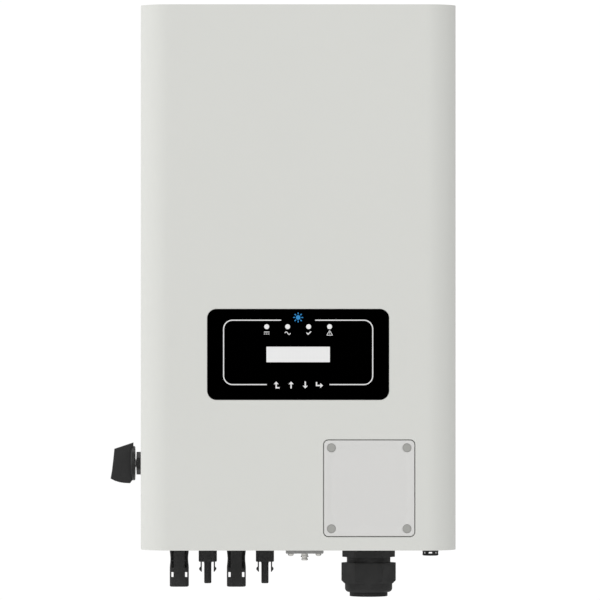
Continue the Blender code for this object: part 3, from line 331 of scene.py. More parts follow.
def bridge(bm, rings):
    for lower, upper in zip(rings, rings[1:]):
        for corners in zip(lower, lower[1:] + lower[:1], upper[1:] + upper[:1], upper):
            bm.faces.new(corners)


def addLoft(bm, outlines):
    # a skin over rings of (x, y, z) points, capped at both ends
    rings = [[bm.verts.new(point) for point in outline] for outline in outlines]
    bridge(bm, rings)
    bm.faces.new(rings[0])
    bm.faces.new(rings[-1])


def addTurned(bm, profile, axis, steps=48, centre=(0, 0, 0)):
    # sweeps a closed (radius, height) profile round an axis through the centre; radius 0 gives a pole
    centre = Vector(centre)
    centre -= axisOf[axis] * centre.dot(axisOf[axis])
    rings = []
    for radius, height in profile:
        level = centre + axisOf[axis] * height
        if radius <= 0:
            rings.append([bm.verts.new(level)])
            continue
        ring = []
        for step in range(steps):
            angle = 2 * math.pi * step / steps
            offset = sideOf[axis] * math.cos(angle) + upOf[axis] * math.sin(angle)
            ring.append(bm.verts.new(level + offset * radius))
        rings.append(ring)
    for first, second in zip(rings, rings[1:] + rings[:1]):
        if len(first) == 1 and len(second) == 1:
            continue
        for step in range(steps):
            after = (step + 1) % steps
            if len(first) == 1:
                bm.faces.new((first[0], second[after], second[step]))
            elif len(second) == 1:
                bm.faces.new((first[step], first[after], second[0]))
            else:
                bm.faces.new((first[step], first[after], second[after], second[step]))


def addRod(bm, radius, axis, low, high, steps=48, centre=(0, 0, 0), edge=0.0):
    profile = [(0, low), (radius, low), (radius, high), (0, high)]
    addTurned(bm, filleted(profile, edge, 3, False), axis, steps, centre)


def addLoop(bm, path, radius, sides=8):
    # a closed wire along (x, z) points, lying in the plane y = 0
    rings = []
    count = len(path)
    for index, (x, z) in enumerate(path):
        way = Vector(path[(index + 1) % count]) - Vector(path[index - 1])
        way.normalize()
        ring = []
        for side in range(sides):
            angle = 2 * math.pi * side / sides
            out = radius * math.cos(angle)
            ring.append(bm.verts.new((x + way.y * out, radius * math.sin(angle), z - way.x * out)))
        rings.append(ring)
    bridge(bm, rings + rings[:1])


def addPad(bm, node, grow, radius, steps, near=None, far=None):
    # a rounded plate over the node's front, wider and taller by grow
    low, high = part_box(node)
    spot = middle(node)
    outline = roundedOutline((high.x - low.x + grow, high.z - low.z + grow), radius, (spot.x, spot.z), steps)
    addPrism(bm, outline, "Y", low.y if near is None else near, high.y if far is None else far)


def addBlock(bm, low, high):
    low, high = Vector(low), Vector(high)
    place = Matrix.Translation((low + high) / 2) @ Matrix.Diagonal((*(high - low), 1.0))
    bmesh.ops.create_cube(bm, size=1.0, matrix=place)


def rawObject(name, bm):
    bmesh.ops.recalc_face_normals(bm, faces=bm.faces)
    mesh = bpy.data.meshes.new(name)
    bm.to_mesh(mesh)
    bm.free()
    piece = bpy.data.objects.new(name, mesh)
    bpy.context.scene.collection.objects.link(piece)
    return piece


def shaped(name, add, *details):
    # a piece that starts as one solid
    bm = bmesh.new()
    add(bm, *details)
    return rawObject(name, bm)


def settle(piece):
    # turns the evaluated piece into a plain mesh and takes its modifiers off
    depsgraph = bpy.context.evaluated_depsgraph_get()
    made = bpy.data.meshes.new_from_object(piece.evaluated_get(depsgraph), depsgraph=depsgraph)
    piece.modifiers.clear()
    old = piece.data
    piece.data = made
    made.name = piece.name
    bpy.data.meshes.remove(old)


def combine(piece, bm, operation):
    helper = rawObject(piece.name + "Helper", bm)
    modifier = piece.modifiers.new("Combine", "BOOLEAN")
    modifier.operation = operation
    modifier.solver = "EXACT"
    modifier.object = helper
    settle(piece)
    bpy.data.objects.remove(helper)


def join(piece, add, *details):
    bm = bmesh.new()
    add(bm, *details)
    combine(piece, bm, "UNION")


def cut(piece, add, *details):
    bm = bmesh.new()
    add(bm, *details)
    combine(piece, bm, "DIFFERENCE")


def roundEdges(piece, width, segments=2, angle=50.0):
    bevel = piece.modifiers.new("Round", "BEVEL")
    bevel.width = width
    bevel.segments = segments
    bevel.limit_method = "ANGLE"
    bevel.angle_limit = math.radians(angle)
    bevel.harden_normals = False
    settle(piece)


def smoothFaces(piece, angle=32.0):
    piece.data.shade_smooth()
    piece.data.set_sharp_from_angle(angle=math.radians(angle))
    weighted = piece.modifiers.new("Weighted", "WEIGHTED_NORMAL")
    weighted.keep_sharp = True
    settle(piece)


def moveUnder(piece, node):
    # from the origin, where a fitting is shaped, to the node's place under the case
    piece.data.transform(Matrix.Translation((middle(node).x, middle(node).y, baseZ)))


def finishPiece(piece, finish, replaced=(), body="inverter", angle=32.0):
    smoothFaces(piece, angle)
    piece.data.materials.clear()
    piece.data.materials.append(finishes[finish])
    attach(piece, body)
    if replaced:
        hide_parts(*replaced)
    return piece


def repaint(node, finish):
    # a CAD node whose shape is right keeps its mesh and gets a finish
    mesh = nodes[node].data
    mesh.materials.clear()
    mesh.materials.append(finishes[finish])


class Plan:
    # a geometry tree that repeats one shape, with named inputs
    def __init__(self, name, inputs):
        self.tree = bpy.data.node_groups.new(name, "GeometryNodeTree")
        self.tree.is_modifier = True
        self.keys = {}
        self.tree.interface.new_socket("Geometry", in_out="INPUT", socket_type="NodeSocketGeometry")
        for label, kind in inputs:
            made = self.tree.interface.new_socket(label, in_out="INPUT", socket_type=kind)
            self.keys[label] = made.identifier
        self.tree.interface.new_socket("Geometry", in_out="OUTPUT", socket_type="NodeSocketGeometry")
        self.entry = self.tree.nodes.new("NodeGroupInput")

    def node(self, kind, settings, sockets):
        made = self.tree.nodes.new(kind)
        for name, value in settings.items():
            setattr(made, name, value)
        for key, value in sockets.items():
            if isinstance(value, bpy.types.NodeSocket):
                self.tree.links.new(value, made.inputs[key])
            else:
                made.inputs[key].default_value = value
        return made

    def given(self, label):
        return self.entry.outputs[label]

    def line(self, step):
        sockets = {"Count": self.given("Count"), "Offset": step}
        return self.node("GeometryNodeMeshLine", {"mode": "OFFSET"}, sockets).outputs[0]

    def copies(self, points, **more):
        sockets = {"Points": points, "Instance": self.given("Geometry"), **more}
        return self.node("GeometryNodeInstanceOnPoints", {}, sockets).outputs[0]

    def close(self, geometry):
        real = self.node("GeometryNodeRealizeInstances", {}, {"Geometry": geometry})
        sockets = {"Geometry": real.outputs[0], "Material": self.given("Material")}
        painted = self.node("GeometryNodeSetMaterial", {}, sockets)
        end = self.tree.nodes.new("NodeGroupOutput")
        self.tree.links.new(painted.outputs[0], end.inputs[0])

    def run(self, piece, values):
        modifier = piece.modifiers.new("Repeat", "NODES")
        modifier.node_group = self.tree
        for label, value in values.items():
            modifier[self.keys[label]] = value
        settle(piece)
        return piece


def rowPlan():
    # copies a shape along a straight line
    kinds = [("Count", "NodeSocketInt"), ("Step", "NodeSocketVector"), ("Material", "NodeSocketMaterial")]
    plan = Plan("rowOfCopies", kinds)
    plan.close(plan.copies(plan.line(plan.given("Step"))))
    return plan


def ringPlan():
    # copies a shape round a circle, each turned to face outwards
    kinds = [
        ("Count", "NodeSocketInt"), ("Tilt", "NodeSocketRotation"), ("Centre", "NodeSocketVector"),
        ("Material", "NodeSocketMaterial"),
    ]
    plan = Plan("ringOfCopies", kinds)
    index = plan.node("GeometryNodeInputIndex", {}, {})
    sockets = {0: 2 * math.pi, 1: plan.given("Count")}
    share = plan.node("ShaderNodeMath", {"operation": "DIVIDE"}, sockets)
    turn = plan.node("ShaderNodeMath", {"operation": "MULTIPLY"}, {0: index.outputs[0], 1: share.outputs[0]})
    angles = plan.node("ShaderNodeCombineXYZ", {}, {"Z": turn.outputs[0]})
    rotation = plan.node("FunctionNodeEulerToRotation", {}, {"Euler": angles.outputs[0]})
    copies = plan.copies(plan.line((0, 0, 0)), Rotation=rotation.outputs[0])
    sockets = {"Geometry": copies, "Translation": plan.given("Centre"), "Rotation": plan.given("Tilt")}
    placed = plan.node("GeometryNodeTransform", {}, sockets)
    plan.close(placed.outputs[0])
    return plan


def spotPlan():
    # puts a copy on every point of a helper mesh
    plan = Plan("copiesOnSpots", [("Spots", "NodeSocketObject"), ("Material", "NodeSocketMaterial")])
    spots = plan.node("GeometryNodeObjectInfo", {}, {"Object": plan.given("Spots")})
    plan.close(plan.copies(spots.outputs["Geometry"]))
    return plan


rowOfCopies = rowPlan()
ringOfCopies = ringPlan()
copiesOnSpots = spotPlan()


def onSpots(name, bm, places, finish):
    spotMesh = bpy.data.meshes.new(name + "Spots")
    spotMesh.from_pydata([tuple(place) for place in places], [], [])
    spots = bpy.data.objects.new(name + "Spots", spotMesh)
    bpy.context.scene.collection.objects.link(spots)
    piece = rawObject(name, bm)
    copiesOnSpots.run(piece, {"Spots": spots, "Material": finishes[finish]})
    bpy.data.objects.remove(spots)
    return piece


view = {"distance": 5.5, "field": 0.6048, "aside": 0.00186, "aboveBase": 0.2526}
room = {"ambient": 0.891, "drift": 0.363, "backdrop": 1.02, "floorDrop": 0.80}
lamps = {
    "keyLamp": {"place": (-4.2, -1.2, 1.4), "size": 1.8, "power": 12.0},
    "frontLamp": {"place": (0.4, -4.2, 1.6), "size": 2.2, "power": 17.0},
    "topLamp": {"place": (-0.6, 0.2, 3.2), "size": 1.6, "power": 14.0},
}


def buildCamera():
    camera = bpy.data.objects.new("camera", bpy.data.cameras.new("camera"))
    camera.data.sensor_width = 36.0
    camera.data.lens = 36.0 * view["distance"] / view["field"]
    camera.data.clip_end = 60.0
    camera.location = (view["aside"], faceY - view["distance"], baseZ + view["aboveBase"])
    camera.rotation_euler = (math.pi / 2, 0, 0)
    bpy.context.scene.collection.objects.link(camera)
    bpy.context.scene.camera = camera


def buildLamps():
    aim = Vector((0, faceY / 2, baseZ + 0.27))
    for name, look in lamps.items():
        light = bpy.data.lights.new(name, "AREA")
        light.shape = "DISK"
        light.size = look["size"]
        light.energy = look["power"]
        lamp = bpy.data.objects.new(name, light)
        lamp.location = look["place"]
        lamp.rotation_euler = (aim - lamp.location).to_track_quat("-Z", "Y").to_euler()
        bpy.context.scene.collection.objects.link(lamp)


def buildRoom():
    # soft light from all round, a little stronger from the left, in front of a white backdrop
    world = bpy.data.worlds.new("softRoom")
    bpy.context.scene.world = world
    world.use_nodes = True
    tree = world.node_tree
    sky = tree.nodes["Background"]
    sky.inputs["Color"].default_value = (1, 1, 1, 1)
    seen = Wire(tree, tree.nodes.new("ShaderNodeLightPath").outputs["Is Camera Ray"])
    way = Wire(tree, tree.nodes.new("ShaderNodeTexCoord").outputs["Generated"])
    ambient = room["ambient"] - way.node("ShaderNodeSeparateXYZ", {}, {0: way}) * room["drift"]
    (ambient + seen * (room["backdrop"] - ambient)).paint(sky.inputs["Strength"])

    floor = shaped(
        "floor", addBlock, (-9, -9, baseZ - room["floorDrop"] - 0.03), (9, 9, baseZ - room["floorDrop"])
    )
    material, place = newFinish("floorPale", {"Roughness": 0.9, "Specular IOR Level": 0.1})
    coat(material, {"colour": (0.80, 0.80, 0.80)}, place.noise(3.0, 4.0), (1.0, 1.0375))
    floor.data.materials.append(material)

    settings = bpy.context.scene.view_settings
    settings.view_transform = "Standard"
    settings.look = "None"
    settings.exposure = 0.0
    settings.gamma = 1.0


buildCamera()
buildLamps()
buildRoom()
print("stage built")


cover = {
    "sideRadius": 0.029,
    "rimRadius": 0.0024,
    "wall": 0.0025,
    "padHalf": (0.0514, 0.0530),
    "padDepth": 0.0094,
    "ledge": 0.0044,
    "bayGap": 0.00075,
    "bayRadius": 0.00535,
    "bayOpening": (0.062, 0.068),
    "pocket": 0.0010,
    "panelRadius": 0.0096,
    "seamEdge": 0.0002,
}


def caseSection(halfWidth, back, front, radius, steps):
    left = arcPoints((-halfWidth + radius, front + radius), radius, 180, 270, steps)
    right = arcPoints((halfWidth - radius, front + radius), radius, 270, 360, steps)
    return [(-halfWidth, back)] + left + right + [(halfWidth, back)]


def addCoverHoles(bm):
    ahead = faceY - reach
    behind = faceY + cover["padDepth"] + reach
    bayOutline = roundedOutline(cover["bayOpening"], 0.005, (bayMiddle.x, bayMiddle.z), 6)
    addPrism(bm, bayOutline, "Y", ahead, behind)
    window = sizeOf("lcd_window")
    lcdHole = (window.x + 0.0019, window.z + 0.0023)
    lcdOutline = roundedOutline(lcdHole, 0.001, (panelMiddle.x, panelMiddle.z), 3)
    addPrism(bm, lcdOutline, "Y", ahead, behind)
    for name in lampNames:
        addRod(bm, 0.0031, "Y", ahead, behind, 24, middle("led_lens_" + name))
    for name in keyNames:
        addPad(bm, "key_" + name, 0.002, 0.001, 3, ahead, behind)
    for number in (1, 2, 3, 4):
        addRod(bm, 0.0020, "Y", ahead, behind, 20, middle(f"ac_cover_screw_{number}"))


def buildFrontCover():
    halfWidth = (caseHigh.x - caseLow.x) / 2
    wall = cover["wall"]
    outline = caseSection(halfWidth, caseHigh.y, faceY, cover["sideRadius"], 24)
    bm = bmesh.new()
    addPrism(bm, outline, "Z", baseZ, caseHigh.z)
    rims = []
    for edge in bm.edges:
        first, second = (vert.co for vert in edge.verts)
        level = abs(first.z - second.z) < 1e-6
        if level and min(first.y, second.y) < caseHigh.y - 1e-6:
            rims.append(edge)
    bmesh.ops.bevel(bm, geom=rims, offset=cover["rimRadius"], segments=5, profile=0.5, affect="EDGES")
    shell = rawObject("frontCoverShell", bm)

    inner = caseSection(halfWidth - wall, caseHigh.y + reach, faceY + wall, cover["sideRadius"] - wall, 16)
    cut(shell, addPrism, inner, "Z", baseZ + wall, caseHigh.z - wall)

    across, up = cover["padHalf"]
    low = (bayMiddle.x - across, faceY + wall / 2, bayMiddle.z - up)
    high = (bayMiddle.x + across, faceY + cover["padDepth"], bayMiddle.z + up)
    join(shell, addBlock, low, high)

    ahead = faceY - reach
    bm = bmesh.new()
    addPad(bm, "ac_cover", 2 * cover["bayGap"], cover["bayRadius"], 10, ahead, faceY + cover["ledge"])
    addPad(bm, "display_overlay", 0.0006, cover["panelRadius"], 14, ahead, faceY + cover["pocket"])
    combine(shell, bm, "DIFFERENCE")
    cut(shell, addCoverHoles)
    roundEdges(shell, cover["seamEdge"])
    finishPiece(shell, "powder", ["front_cover"])


rear = {
    "wall": 0.003,
    "floor": 0.004,
    "back": -0.070,
    "edge": 0.0008,
    "skirtRadius": 0.018,
    "screwY": -0.139,
    "screwZ": (-0.298, -0.170, -0.055, 0.060, 0.188),
}


def addHousingHoles(bm):
    below = rearLow.z - reach
    above = rearLow.z + rear["wall"] + reach
    holes = {"pv_pin_shell_1": 0.0080, "pv_pin_shell_2": 0.0080, "pv_latch_probe_1": 0.0080}
    holes.update({"pv_latch_probe_2": 0.0080, "gland_body": 0.0202, "vent_plug": 0.0061})
    for name, radius in holes.items():
        addRod(bm, radius, "Z", below, above, 48, middle(name))
    port = middle("antenna_socket")
    addPrism(bm, roundedOutline((0.020, 0.014), 0.002, (port.x, port.y), 4), "Z", below, above)
    inside = rearLow.x + rear["wall"] + reach
    addRod(bm, 0.0081, "X", rearLow.x - reach, inside, 32, knobAxis)


def buildRearHousing():
    side = rearHigh.x
    inner = side - rear["wall"]
    skirt = rearHigh.y
    section = [
        (-side, rearLow.y), (side, rearLow.y), (side, skirt), (inner, skirt), (inner, rear["back"]),
        (-inner, rear["back"]), (-inner, skirt), (-side, skirt),
    ]
    housing = shaped("rearHousingShell", addPrism, section, "Z", rearLow.z, rearHigh.z)
    low = (-inner, rearLow.y - reach, rearLow.z + rear["wall"])
    high = (inner, rear["back"] - rear["floor"], rearHigh.z - rear["wall"])
    cut(housing, addBlock, low, high)

    # the skirts' corners are rounded where they come near the wall
    radius = rear["skirtRadius"]
    bm = bmesh.new()
    for end, way in ((rearLow.z, 1), (rearHigh.z, -1)):
        centre = (skirt - radius, end + way * radius)
        outline = arcPoints(centre, radius, -way * 90, 0, 14)
        outline += [(skirt + reach, centre[1]), (skirt + reach, end - way * reach)]
        outline += [(centre[0], end - way * reach)]
        addPrism(bm, outline, "X", -side - reach, side + reach)
    combine(housing, bm, "DIFFERENCE")
    roundEdges(housing, rear["edge"])

    cut(housing, addHousingHoles)
    finishPiece(housing, "powder", ["rear_housing"])


def buildCoverScrews():
    # flush screws along both sides hold the cover on the rear housing
    profile = [
        (0, -0.0020), (0.0016, -0.0020), (0.0033, -0.0001, 0.0002), (0.0033, 0.0003, 0.0002),
        (0.0018, 0.0003), (0.0014, -0.0012), (0, -0.0012),
    ]
    for label, way in (("Left", -1), ("Right", 1)):
        bm = bmesh.new()
        addTurned(bm, [(a, way * b) for a, b in filleted(profile, 0, 3, False)], "X", 24)
        places = [(way * rearHigh.x, rear["screwY"], z) for z in rear["screwZ"]]
        screws = onSpots("coverScrews" + label, bm, places, "nickel")
        finishPiece(screws, "nickel", ())


buildFrontCover()
buildRearHousing()
buildCoverScrews()
repaint("cover_gasket", "rubber")
print("case built")


fins = {"count": 16, "thickness": 0.0024, "rootY": -0.0617, "tipRound": 0.0009, "rootRound": 0.0016}


def buildHeatsink():
    low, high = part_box("heatsink")
    thickness = fins["thickness"]
    pitch = (high.x - low.x - thickness) / (fins["count"] - 1)
    outline = [(low.x, low.y, 0.0004), (high.x, low.y, 0.0004)]
    for index in reversed(range(fins["count"])):
        left = low.x + index * pitch
        outline += [(left + thickness, high.y, fins["tipRound"]), (left, high.y, fins["tipRound"])]
        if index > 0:
            outline += [(left, fins["rootY"]), (left - pitch + thickness, fins["rootY"])]
    sink = shaped("finnedHeatsink", addPrism, filleted(outline, fins["rootRound"], 4), "Z", low.z, high.z)
    finishPiece(sink, "aluminium", ["heatsink"])


# sheet thickness of the bracket and the hanger, and the radii of their bends
sheet = 0.0025
inside = 0.0012
outside = 0.0034
bracket = {
    "shelf": 0.065,
    "hookBack": -0.0095,
    "notch": 0.0025,
    "earEnd": -0.015,
    "earSpan": (-0.020, 0.008),
    "slot": (0.0085, 0.016),
    "slotX": (-0.095, 0.095),
    "slotZ": (-0.045, 0.040),
}


def buildBracket():
    # a sheet that steps forward over a shelf and up into the hook, with an ear for the lock screw
    low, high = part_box("wall_bracket")
    shelf = bracket["shelf"]
    hook = bracket["hookBack"]
    section = [
        (high.y, low.z, 0.0003), (-sheet, low.z, 0.0003), (-sheet, shelf - sheet, inside),
        (hook - sheet, shelf - sheet, outside), (hook - sheet, high.z, 0.0003), (hook, high.z, 0.0003),
        (hook, shelf, inside), (high.y, shelf, outside),
    ]
    plate = shaped("wallBracketSheet", addPrism, filleted(section, inside, 5), "X", low.x, high.x)
    front = bracket["earEnd"]
    bottom, top = bracket["earSpan"]
    near = middle("lock_screw").y - bracket["notch"]
    far = middle("lock_screw").y + bracket["notch"]
    ear = [
        (-sheet / 2, bottom), (front, bottom, 0.004), (front, top, 0.002), (near, top, 0.0006),
        (near, -0.003, 0.0024), (far, -0.003, 0.0024), (far, top, 0.0006), (-sheet / 2, top),
    ]
    join(plate, addPrism, filleted(ear, 0, 5), "X", high.x - sheet, high.x)
    bm = bmesh.new()
    for x in bracket["slotX"]:
        for z in bracket["slotZ"]:
            slot = roundedOutline(bracket["slot"], 0.0042, (x, z), 8)
            addPrism(bm, slot, "Y", -sheet - reach, reach)
    combine(plate, bm, "DIFFERENCE")
    finishPiece(plate, "zinc", ["wall_bracket"], body="bracket")


def buildHanger():
    # a sheet whose top folds down behind the bracket's hook
    low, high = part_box("hanger_plate")
    section = [
        (low.y, low.z, 0.0003), (low.y + sheet, low.z, 0.0003),
        (low.y + sheet, high.z - sheet, inside), (high.y - sheet, high.z - sheet, inside),
        (high.y - sheet, 0.068, 0.0003), (high.y, 0.068, 0.0003), (high.y, high.z, outside),
        (low.y, high.z, outside),
    ]
    lock = middle("lock_screw")
    plate = shaped("hangerSheet", addPrism, filleted(section, inside, 5), "X", low.x, high.x)
    flange = [
        (low.y + sheet / 2, -0.015), (low.y + sheet / 2, 0.015), (-0.005, 0.015, 0.004),
        (-0.005, -0.015, 0.004),
    ]
    join(plate, addPrism, filleted(flange, 0, 5), "X", high.x - sheet, high.x)
    cut(plate, addRod, 0.0023, "X", high.x - reach, high.x + reach, 24, lock)
    finishPiece(plate, "zinc", ["hanger_plate"])

    # socket-head screws hold the hanger to the fins
    bm = bmesh.new()
    head = [(0, 0), (0.0036, 0), (0.0036, 0.0012), (0.0030, 0.0022), (0.0017, 0.0022)]
    head += [(0.0017, 0.0010), (0, 0.0010)]
    addTurned(bm, head, "Y", 20)
    pitch = (sizeOf("heatsink").x - fins["thickness"]) / (fins["count"] - 1)
    places = []
    for index in (1, 5, 10, 14):
        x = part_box("heatsink")[0].x + fins["thickness"] / 2 + index * pitch
        for z in (-0.028, 0.052):
            places.append((x, low.y + sheet, z))
    screws = onSpots("hangerScrews", bm, places, "zinc")
    finishPiece(screws, "zinc", ())


def buildLockScrew():
    low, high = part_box("lock_screw")
    lock = middle("lock_screw")
    headInner = high.x - 0.0038
    profile = [
        (0, low.x), (0.0016, low.x, 0.0003), (0.0020, low.x + 0.0006, 0.0003), (0.0020, headInner),
        (0.0040, headInner, 0.0003), (0.0040, high.x - 0.0010, 0.0008), (0.0030, high.x, 0.0006),
        (0.0019, high.x, 0.0002), (0.0019, high.x - 0.0022), (0, high.x - 0.0022),
    ]
    piece = shaped("lockScrewBody", addTurned, filleted(profile, 0, 3, False), "X", 28, lock)
    finishPiece(piece, "zinc", ["lock_screw"])


buildHeatsink()
buildBracket()
buildHanger()
buildLockScrew()
print("wall side built")


panel = {
    "inkHeight": 0.00005,
    "frameSize": (0.1514, 0.0660),
    "frameRadius": 0.0095,
    "frameLine": 0.0011,
    "topGap": 0.0172,
    "bottomGap": 0.0316,
    "frameRise": 0.0021,
    "labelDrop": 0.0065,
}


def buildFilm():
    low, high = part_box("display_overlay")
    film = shaped("panelFilm", addPad, "display_overlay", 0, 0.0093, 16)
    ahead = low.y - reach
    behind = high.y + reach
    bm = bmesh.new()
    addPad(bm, "lcd_window", 0.0002, 0.0007, 3, ahead, behind)
    for name in lampNames:
        lens = "led_lens_" + name
        addRod(bm, sizeOf(lens).x / 2 + 0.0002, "Y", ahead, behind, 32, middle(lens))
    for name in keyNames:
        addPad(bm, "key_" + name, 0.0005, 0.0013, 4, ahead, behind)
    combine(film, bm, "DIFFERENCE")
    finishPiece(film, "film", ["display_overlay"])


def inkPiece(name, shapes, place, ink="inkWhite", body="inverter"):
    # flat marks on the film; each shape is a list of (across, up) points about the place
    bm = bmesh.new()
    for shape in shapes:
        outline = [(place[0] + across, place[1] + up) for across, up in shape]
        addPrism(bm, outline, "Y", faceY - panel["inkHeight"], faceY + 0.0001)
    return finishPiece(rawObject(name, bm), ink, body=body)


def stroke(points, width):
    # a band of constant width along a line of points
    left, right = [], []
    count = len(points)
    for index, point in enumerate(points):
        before = Vector(points[max(index - 1, 0)])
        after = Vector(points[min(index + 1, count - 1)])
        way = (after - before).normalized()
        normal = Vector((-way.y, way.x)) * width / 2
        left.append(tuple(Vector(point) + normal))
        right.append(tuple(Vector(point) - normal))
    return left + right[::-1]


def bar(left, low, right, high):
    return [(left, low), (right, low), (right, high), (left, high)]


def buildFrameLine():
    across = panel["frameSize"][0] / 2
    up = panel["frameSize"][1] / 2
    radius = panel["frameRadius"]
    line = panel["frameLine"]
    inset = line / 2
    shapes = []
    for side in (-1, 1):
        corner = arcPoints((across - radius, up - radius), radius - inset, 90, 0, 12)
        lower = arcPoints((across - radius, -up + radius), radius - inset, 0, -90, 12)
        path = [(panel["topGap"], up - inset)] + corner + lower + [(panel["bottomGap"], -up + inset)]
        shapes.append(stroke([(side * a, b) for a, b in path], line))
    inkPiece("panelFrameLine", shapes, (panelMiddle.x, panelMiddle.z + panel["frameRise"]))


def buildLabels():
    marks = {}
    marks["dc"] = [bar(-0.0028, 0.0008, 0.0028, 0.0015)]
    for index in (-1, 0, 1):
        x = index * 0.0021
        marks["dc"].append(bar(x - 0.0007, -0.0012, x + 0.0007, -0.0005))
    wave = []
    for step in range(25):
        t = step / 24
        wave.append(((t - 0.5) * 0.0058, 0.0013 * math.sin(2 * math.pi * t)))
    marks["ac"] = [stroke(wave, 0.0008)]
    marks["normal"] = [
        [
            (-0.0026, 0.0002),
            (-0.0019, 0.0009),
            (-0.0006, -0.0004),
            (0.0021, 0.0021),
            (0.0028, 0.0014),
            (-0.0006, -0.0019),
        ]
    ]
    triangle = [(-0.0030, -0.0021), (0.0030, -0.0021), (0.0, 0.0027), (-0.0030, -0.0021)]
    marks["alarm"] = []
    for first, second in zip(triangle, triangle[1:]):
        marks["alarm"].append(stroke([first, second], 0.0006))
    marks["alarm"].append(bar(-0.0003, -0.0003, 0.0003, 0.0012))
    marks["alarm"].append(bar(-0.0003, -0.0013, 0.0003, -0.0007))
    for name, shapes in marks.items():
        lens = middle("led_lens_" + name)
        inkPiece("mark_" + name, shapes, (lens.x, lens.z - panel["labelDrop"]))

    rays = [arcPoints((0, 0), 0.0023, 0, 345, 23)]
    for index in range(8):
        angle = index * math.pi / 4
        way = Vector((math.cos(angle), math.sin(angle)))
        rays.append(stroke([tuple(way * 0.0032), tuple(way * 0.0050)], 0.0010))
    inkPiece("mark_sun", rays, (panelMiddle.x, panelMiddle.z + 0.0373), "inkBlue")


def arrowHead(tip, way, length=0.0028, width=0.0052):
    tip, way = Vector(tip), Vector(way)
    across = Vector((-way.y, way.x)) * width / 2
    foot = tip - way * length
    return [tuple(tip), tuple(foot + across), tuple(foot - across)]


def buildKeys():
    icons = {
        "back": [
            arrowHead((-0.0007, 0.0035), (0, 1)),
            bar(-0.0014, -0.0036, 0.0000, 0.0008),
            bar(0.0000, -0.0036, 0.0028, -0.0022),
        ],
        "up": [arrowHead((0, 0.0035), (0, 1)), bar(-0.0007, -0.0036, 0.0007, 0.0008)],
        "down": [arrowHead((0, -0.0036), (0, -1)), bar(-0.0007, -0.0009, 0.0007, 0.0035)],
        "enter": [
            arrowHead((0.0036, -0.0006), (1, 0)),
            bar(-0.0036, -0.0013, 0.0009, 0.0001),
            bar(-0.0036, 0.0001, -0.0022, 0.0030),
        ],
    }
    for name, shapes in icons.items():
        node = "key_" + name
        key = middle(node)
        cap = shaped("keyCap_" + name, addPad, node, 0, 0.0010, 6)
        roundEdges(cap, 0.00012)
        finishPiece(cap, "film", [node], body=node)
        inkPiece("keyIcon_" + name, shapes, (key.x, key.z), body=node)


def buildLenses():
    for name in lampNames:
        node = "led_lens_" + name
        low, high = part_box(node)
        lens = middle(node)
        radius = (high.x - low.x) / 2
        profile = [(0, low.y)] + arcPoints((radius - 0.0005, low.y + 0.0005), 0.0005, -90, 0, 4)
        profile += [(radius, high.y), (0, high.y)]
        piece = shaped("lampLens_" + name, addTurned, profile, "Y", 40, lens)
        finishPiece(piece, "lens", [node])


def buildLcd():
    window = shaped("lcdPane", addPad, "lcd_window", 0, 0.0006, 4)
    roundEdges(window, 0.0002)
    finishPiece(window, "lcd", ["lcd_window"])


buildFilm()
buildFrameLine()
buildLabels()
buildKeys()
buildLenses()
buildLcd()
print("display panel built")


bayPlate = {
    "radius": 0.0043,
    "margin": 0.0003,
    "edge": 0.0003,
    "rim": 0.0025,
    "slope": 0.0058,
    "dish": 0.00035,
    "dishRadius": 0.020,
    "boreRadius": 0.0045,
    "boreDepth": 0.0016,
}


def buildBayCover():
    # a flat rim round a shallow dish whose corners swing inside the screws
    low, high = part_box("ac_cover")
    size = high - low
    edge = bayPlate["edge"]
    rim = bayPlate["rim"]
    levels = [(0, high.y, bayPlate["radius"]), (0, low.y + edge, bayPlate["radius"])]
    for step in (1, 2, 3, 4):
        angle = math.radians(22.5 * step)
        inset = edge * (1 - math.cos(angle))
        levels.append((inset, low.y + edge * (1 - math.sin(angle)), bayPlate["radius"] - inset))
    for step in range(9):
        share = step / 8
        inset = rim + bayPlate["slope"] * share
        drop = bayPlate["dish"] * (0.5 - 0.5 * math.cos(math.pi * share))
        levels.append((inset, low.y + drop, bayPlate["dishRadius"] - bayPlate["slope"] * share))
    rings = []
    for inset, y, radius in levels:
        inset += bayPlate["margin"]
        outer = (size.x - 2 * inset, size.z - 2 * inset)
        outline = roundedOutline(outer, radius, (bayMiddle.x, bayMiddle.z), 12)
        rings.append([(a, y, b) for a, b in outline])
    plate = shaped("bayCoverPlate", addLoft, rings)

    bore = [
        (0, low.y - reach), (bayPlate["boreRadius"], low.y - reach),
        (bayPlate["boreRadius"], low.y + bayPlate["boreDepth"]),
        (0.0022, low.y + bayPlate["boreDepth"]), (0.0022, high.y + reach), (0, high.y + reach),
    ]
    bm = bmesh.new()
    for number in (1, 2, 3, 4):
        addTurned(bm, bore, "Y", 40, middle(f"ac_cover_screw_{number}"))
    combine(plate, bm, "DIFFERENCE")
    finishPiece(plate, "coverPowder", ["ac_cover"], angle=28.0, body="ac_cover")
    repaint("ac_cover_gasket", "rubber")


def buildBayScrews():
    for number in (1, 2, 3, 4):
        node = f"ac_cover_screw_{number}"
        low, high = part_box(node)
        screw = middle(node)
        radius = (high.x - low.x) / 2
        profile = [
            (0, low.y), (radius, low.y, 0.0003), (radius, low.y + 0.0013), (0.0017, low.y + 0.0013),
            (0.0017, high.y - 0.0010), (0.0009, high.y), (0, high.y),
        ]
        screwPiece = shaped(f"bayScrew_{number}", addTurned, filleted(profile, 0, 4, False), "Y", 40, screw)
        finishPiece(screwPiece, "capPaint", [node], body="ac_cover")


terminal = {"ways": 5, "pitch": 0.0102, "screwDrop": 0.008, "entryRise": 0.0062, "groove": 0.0004}


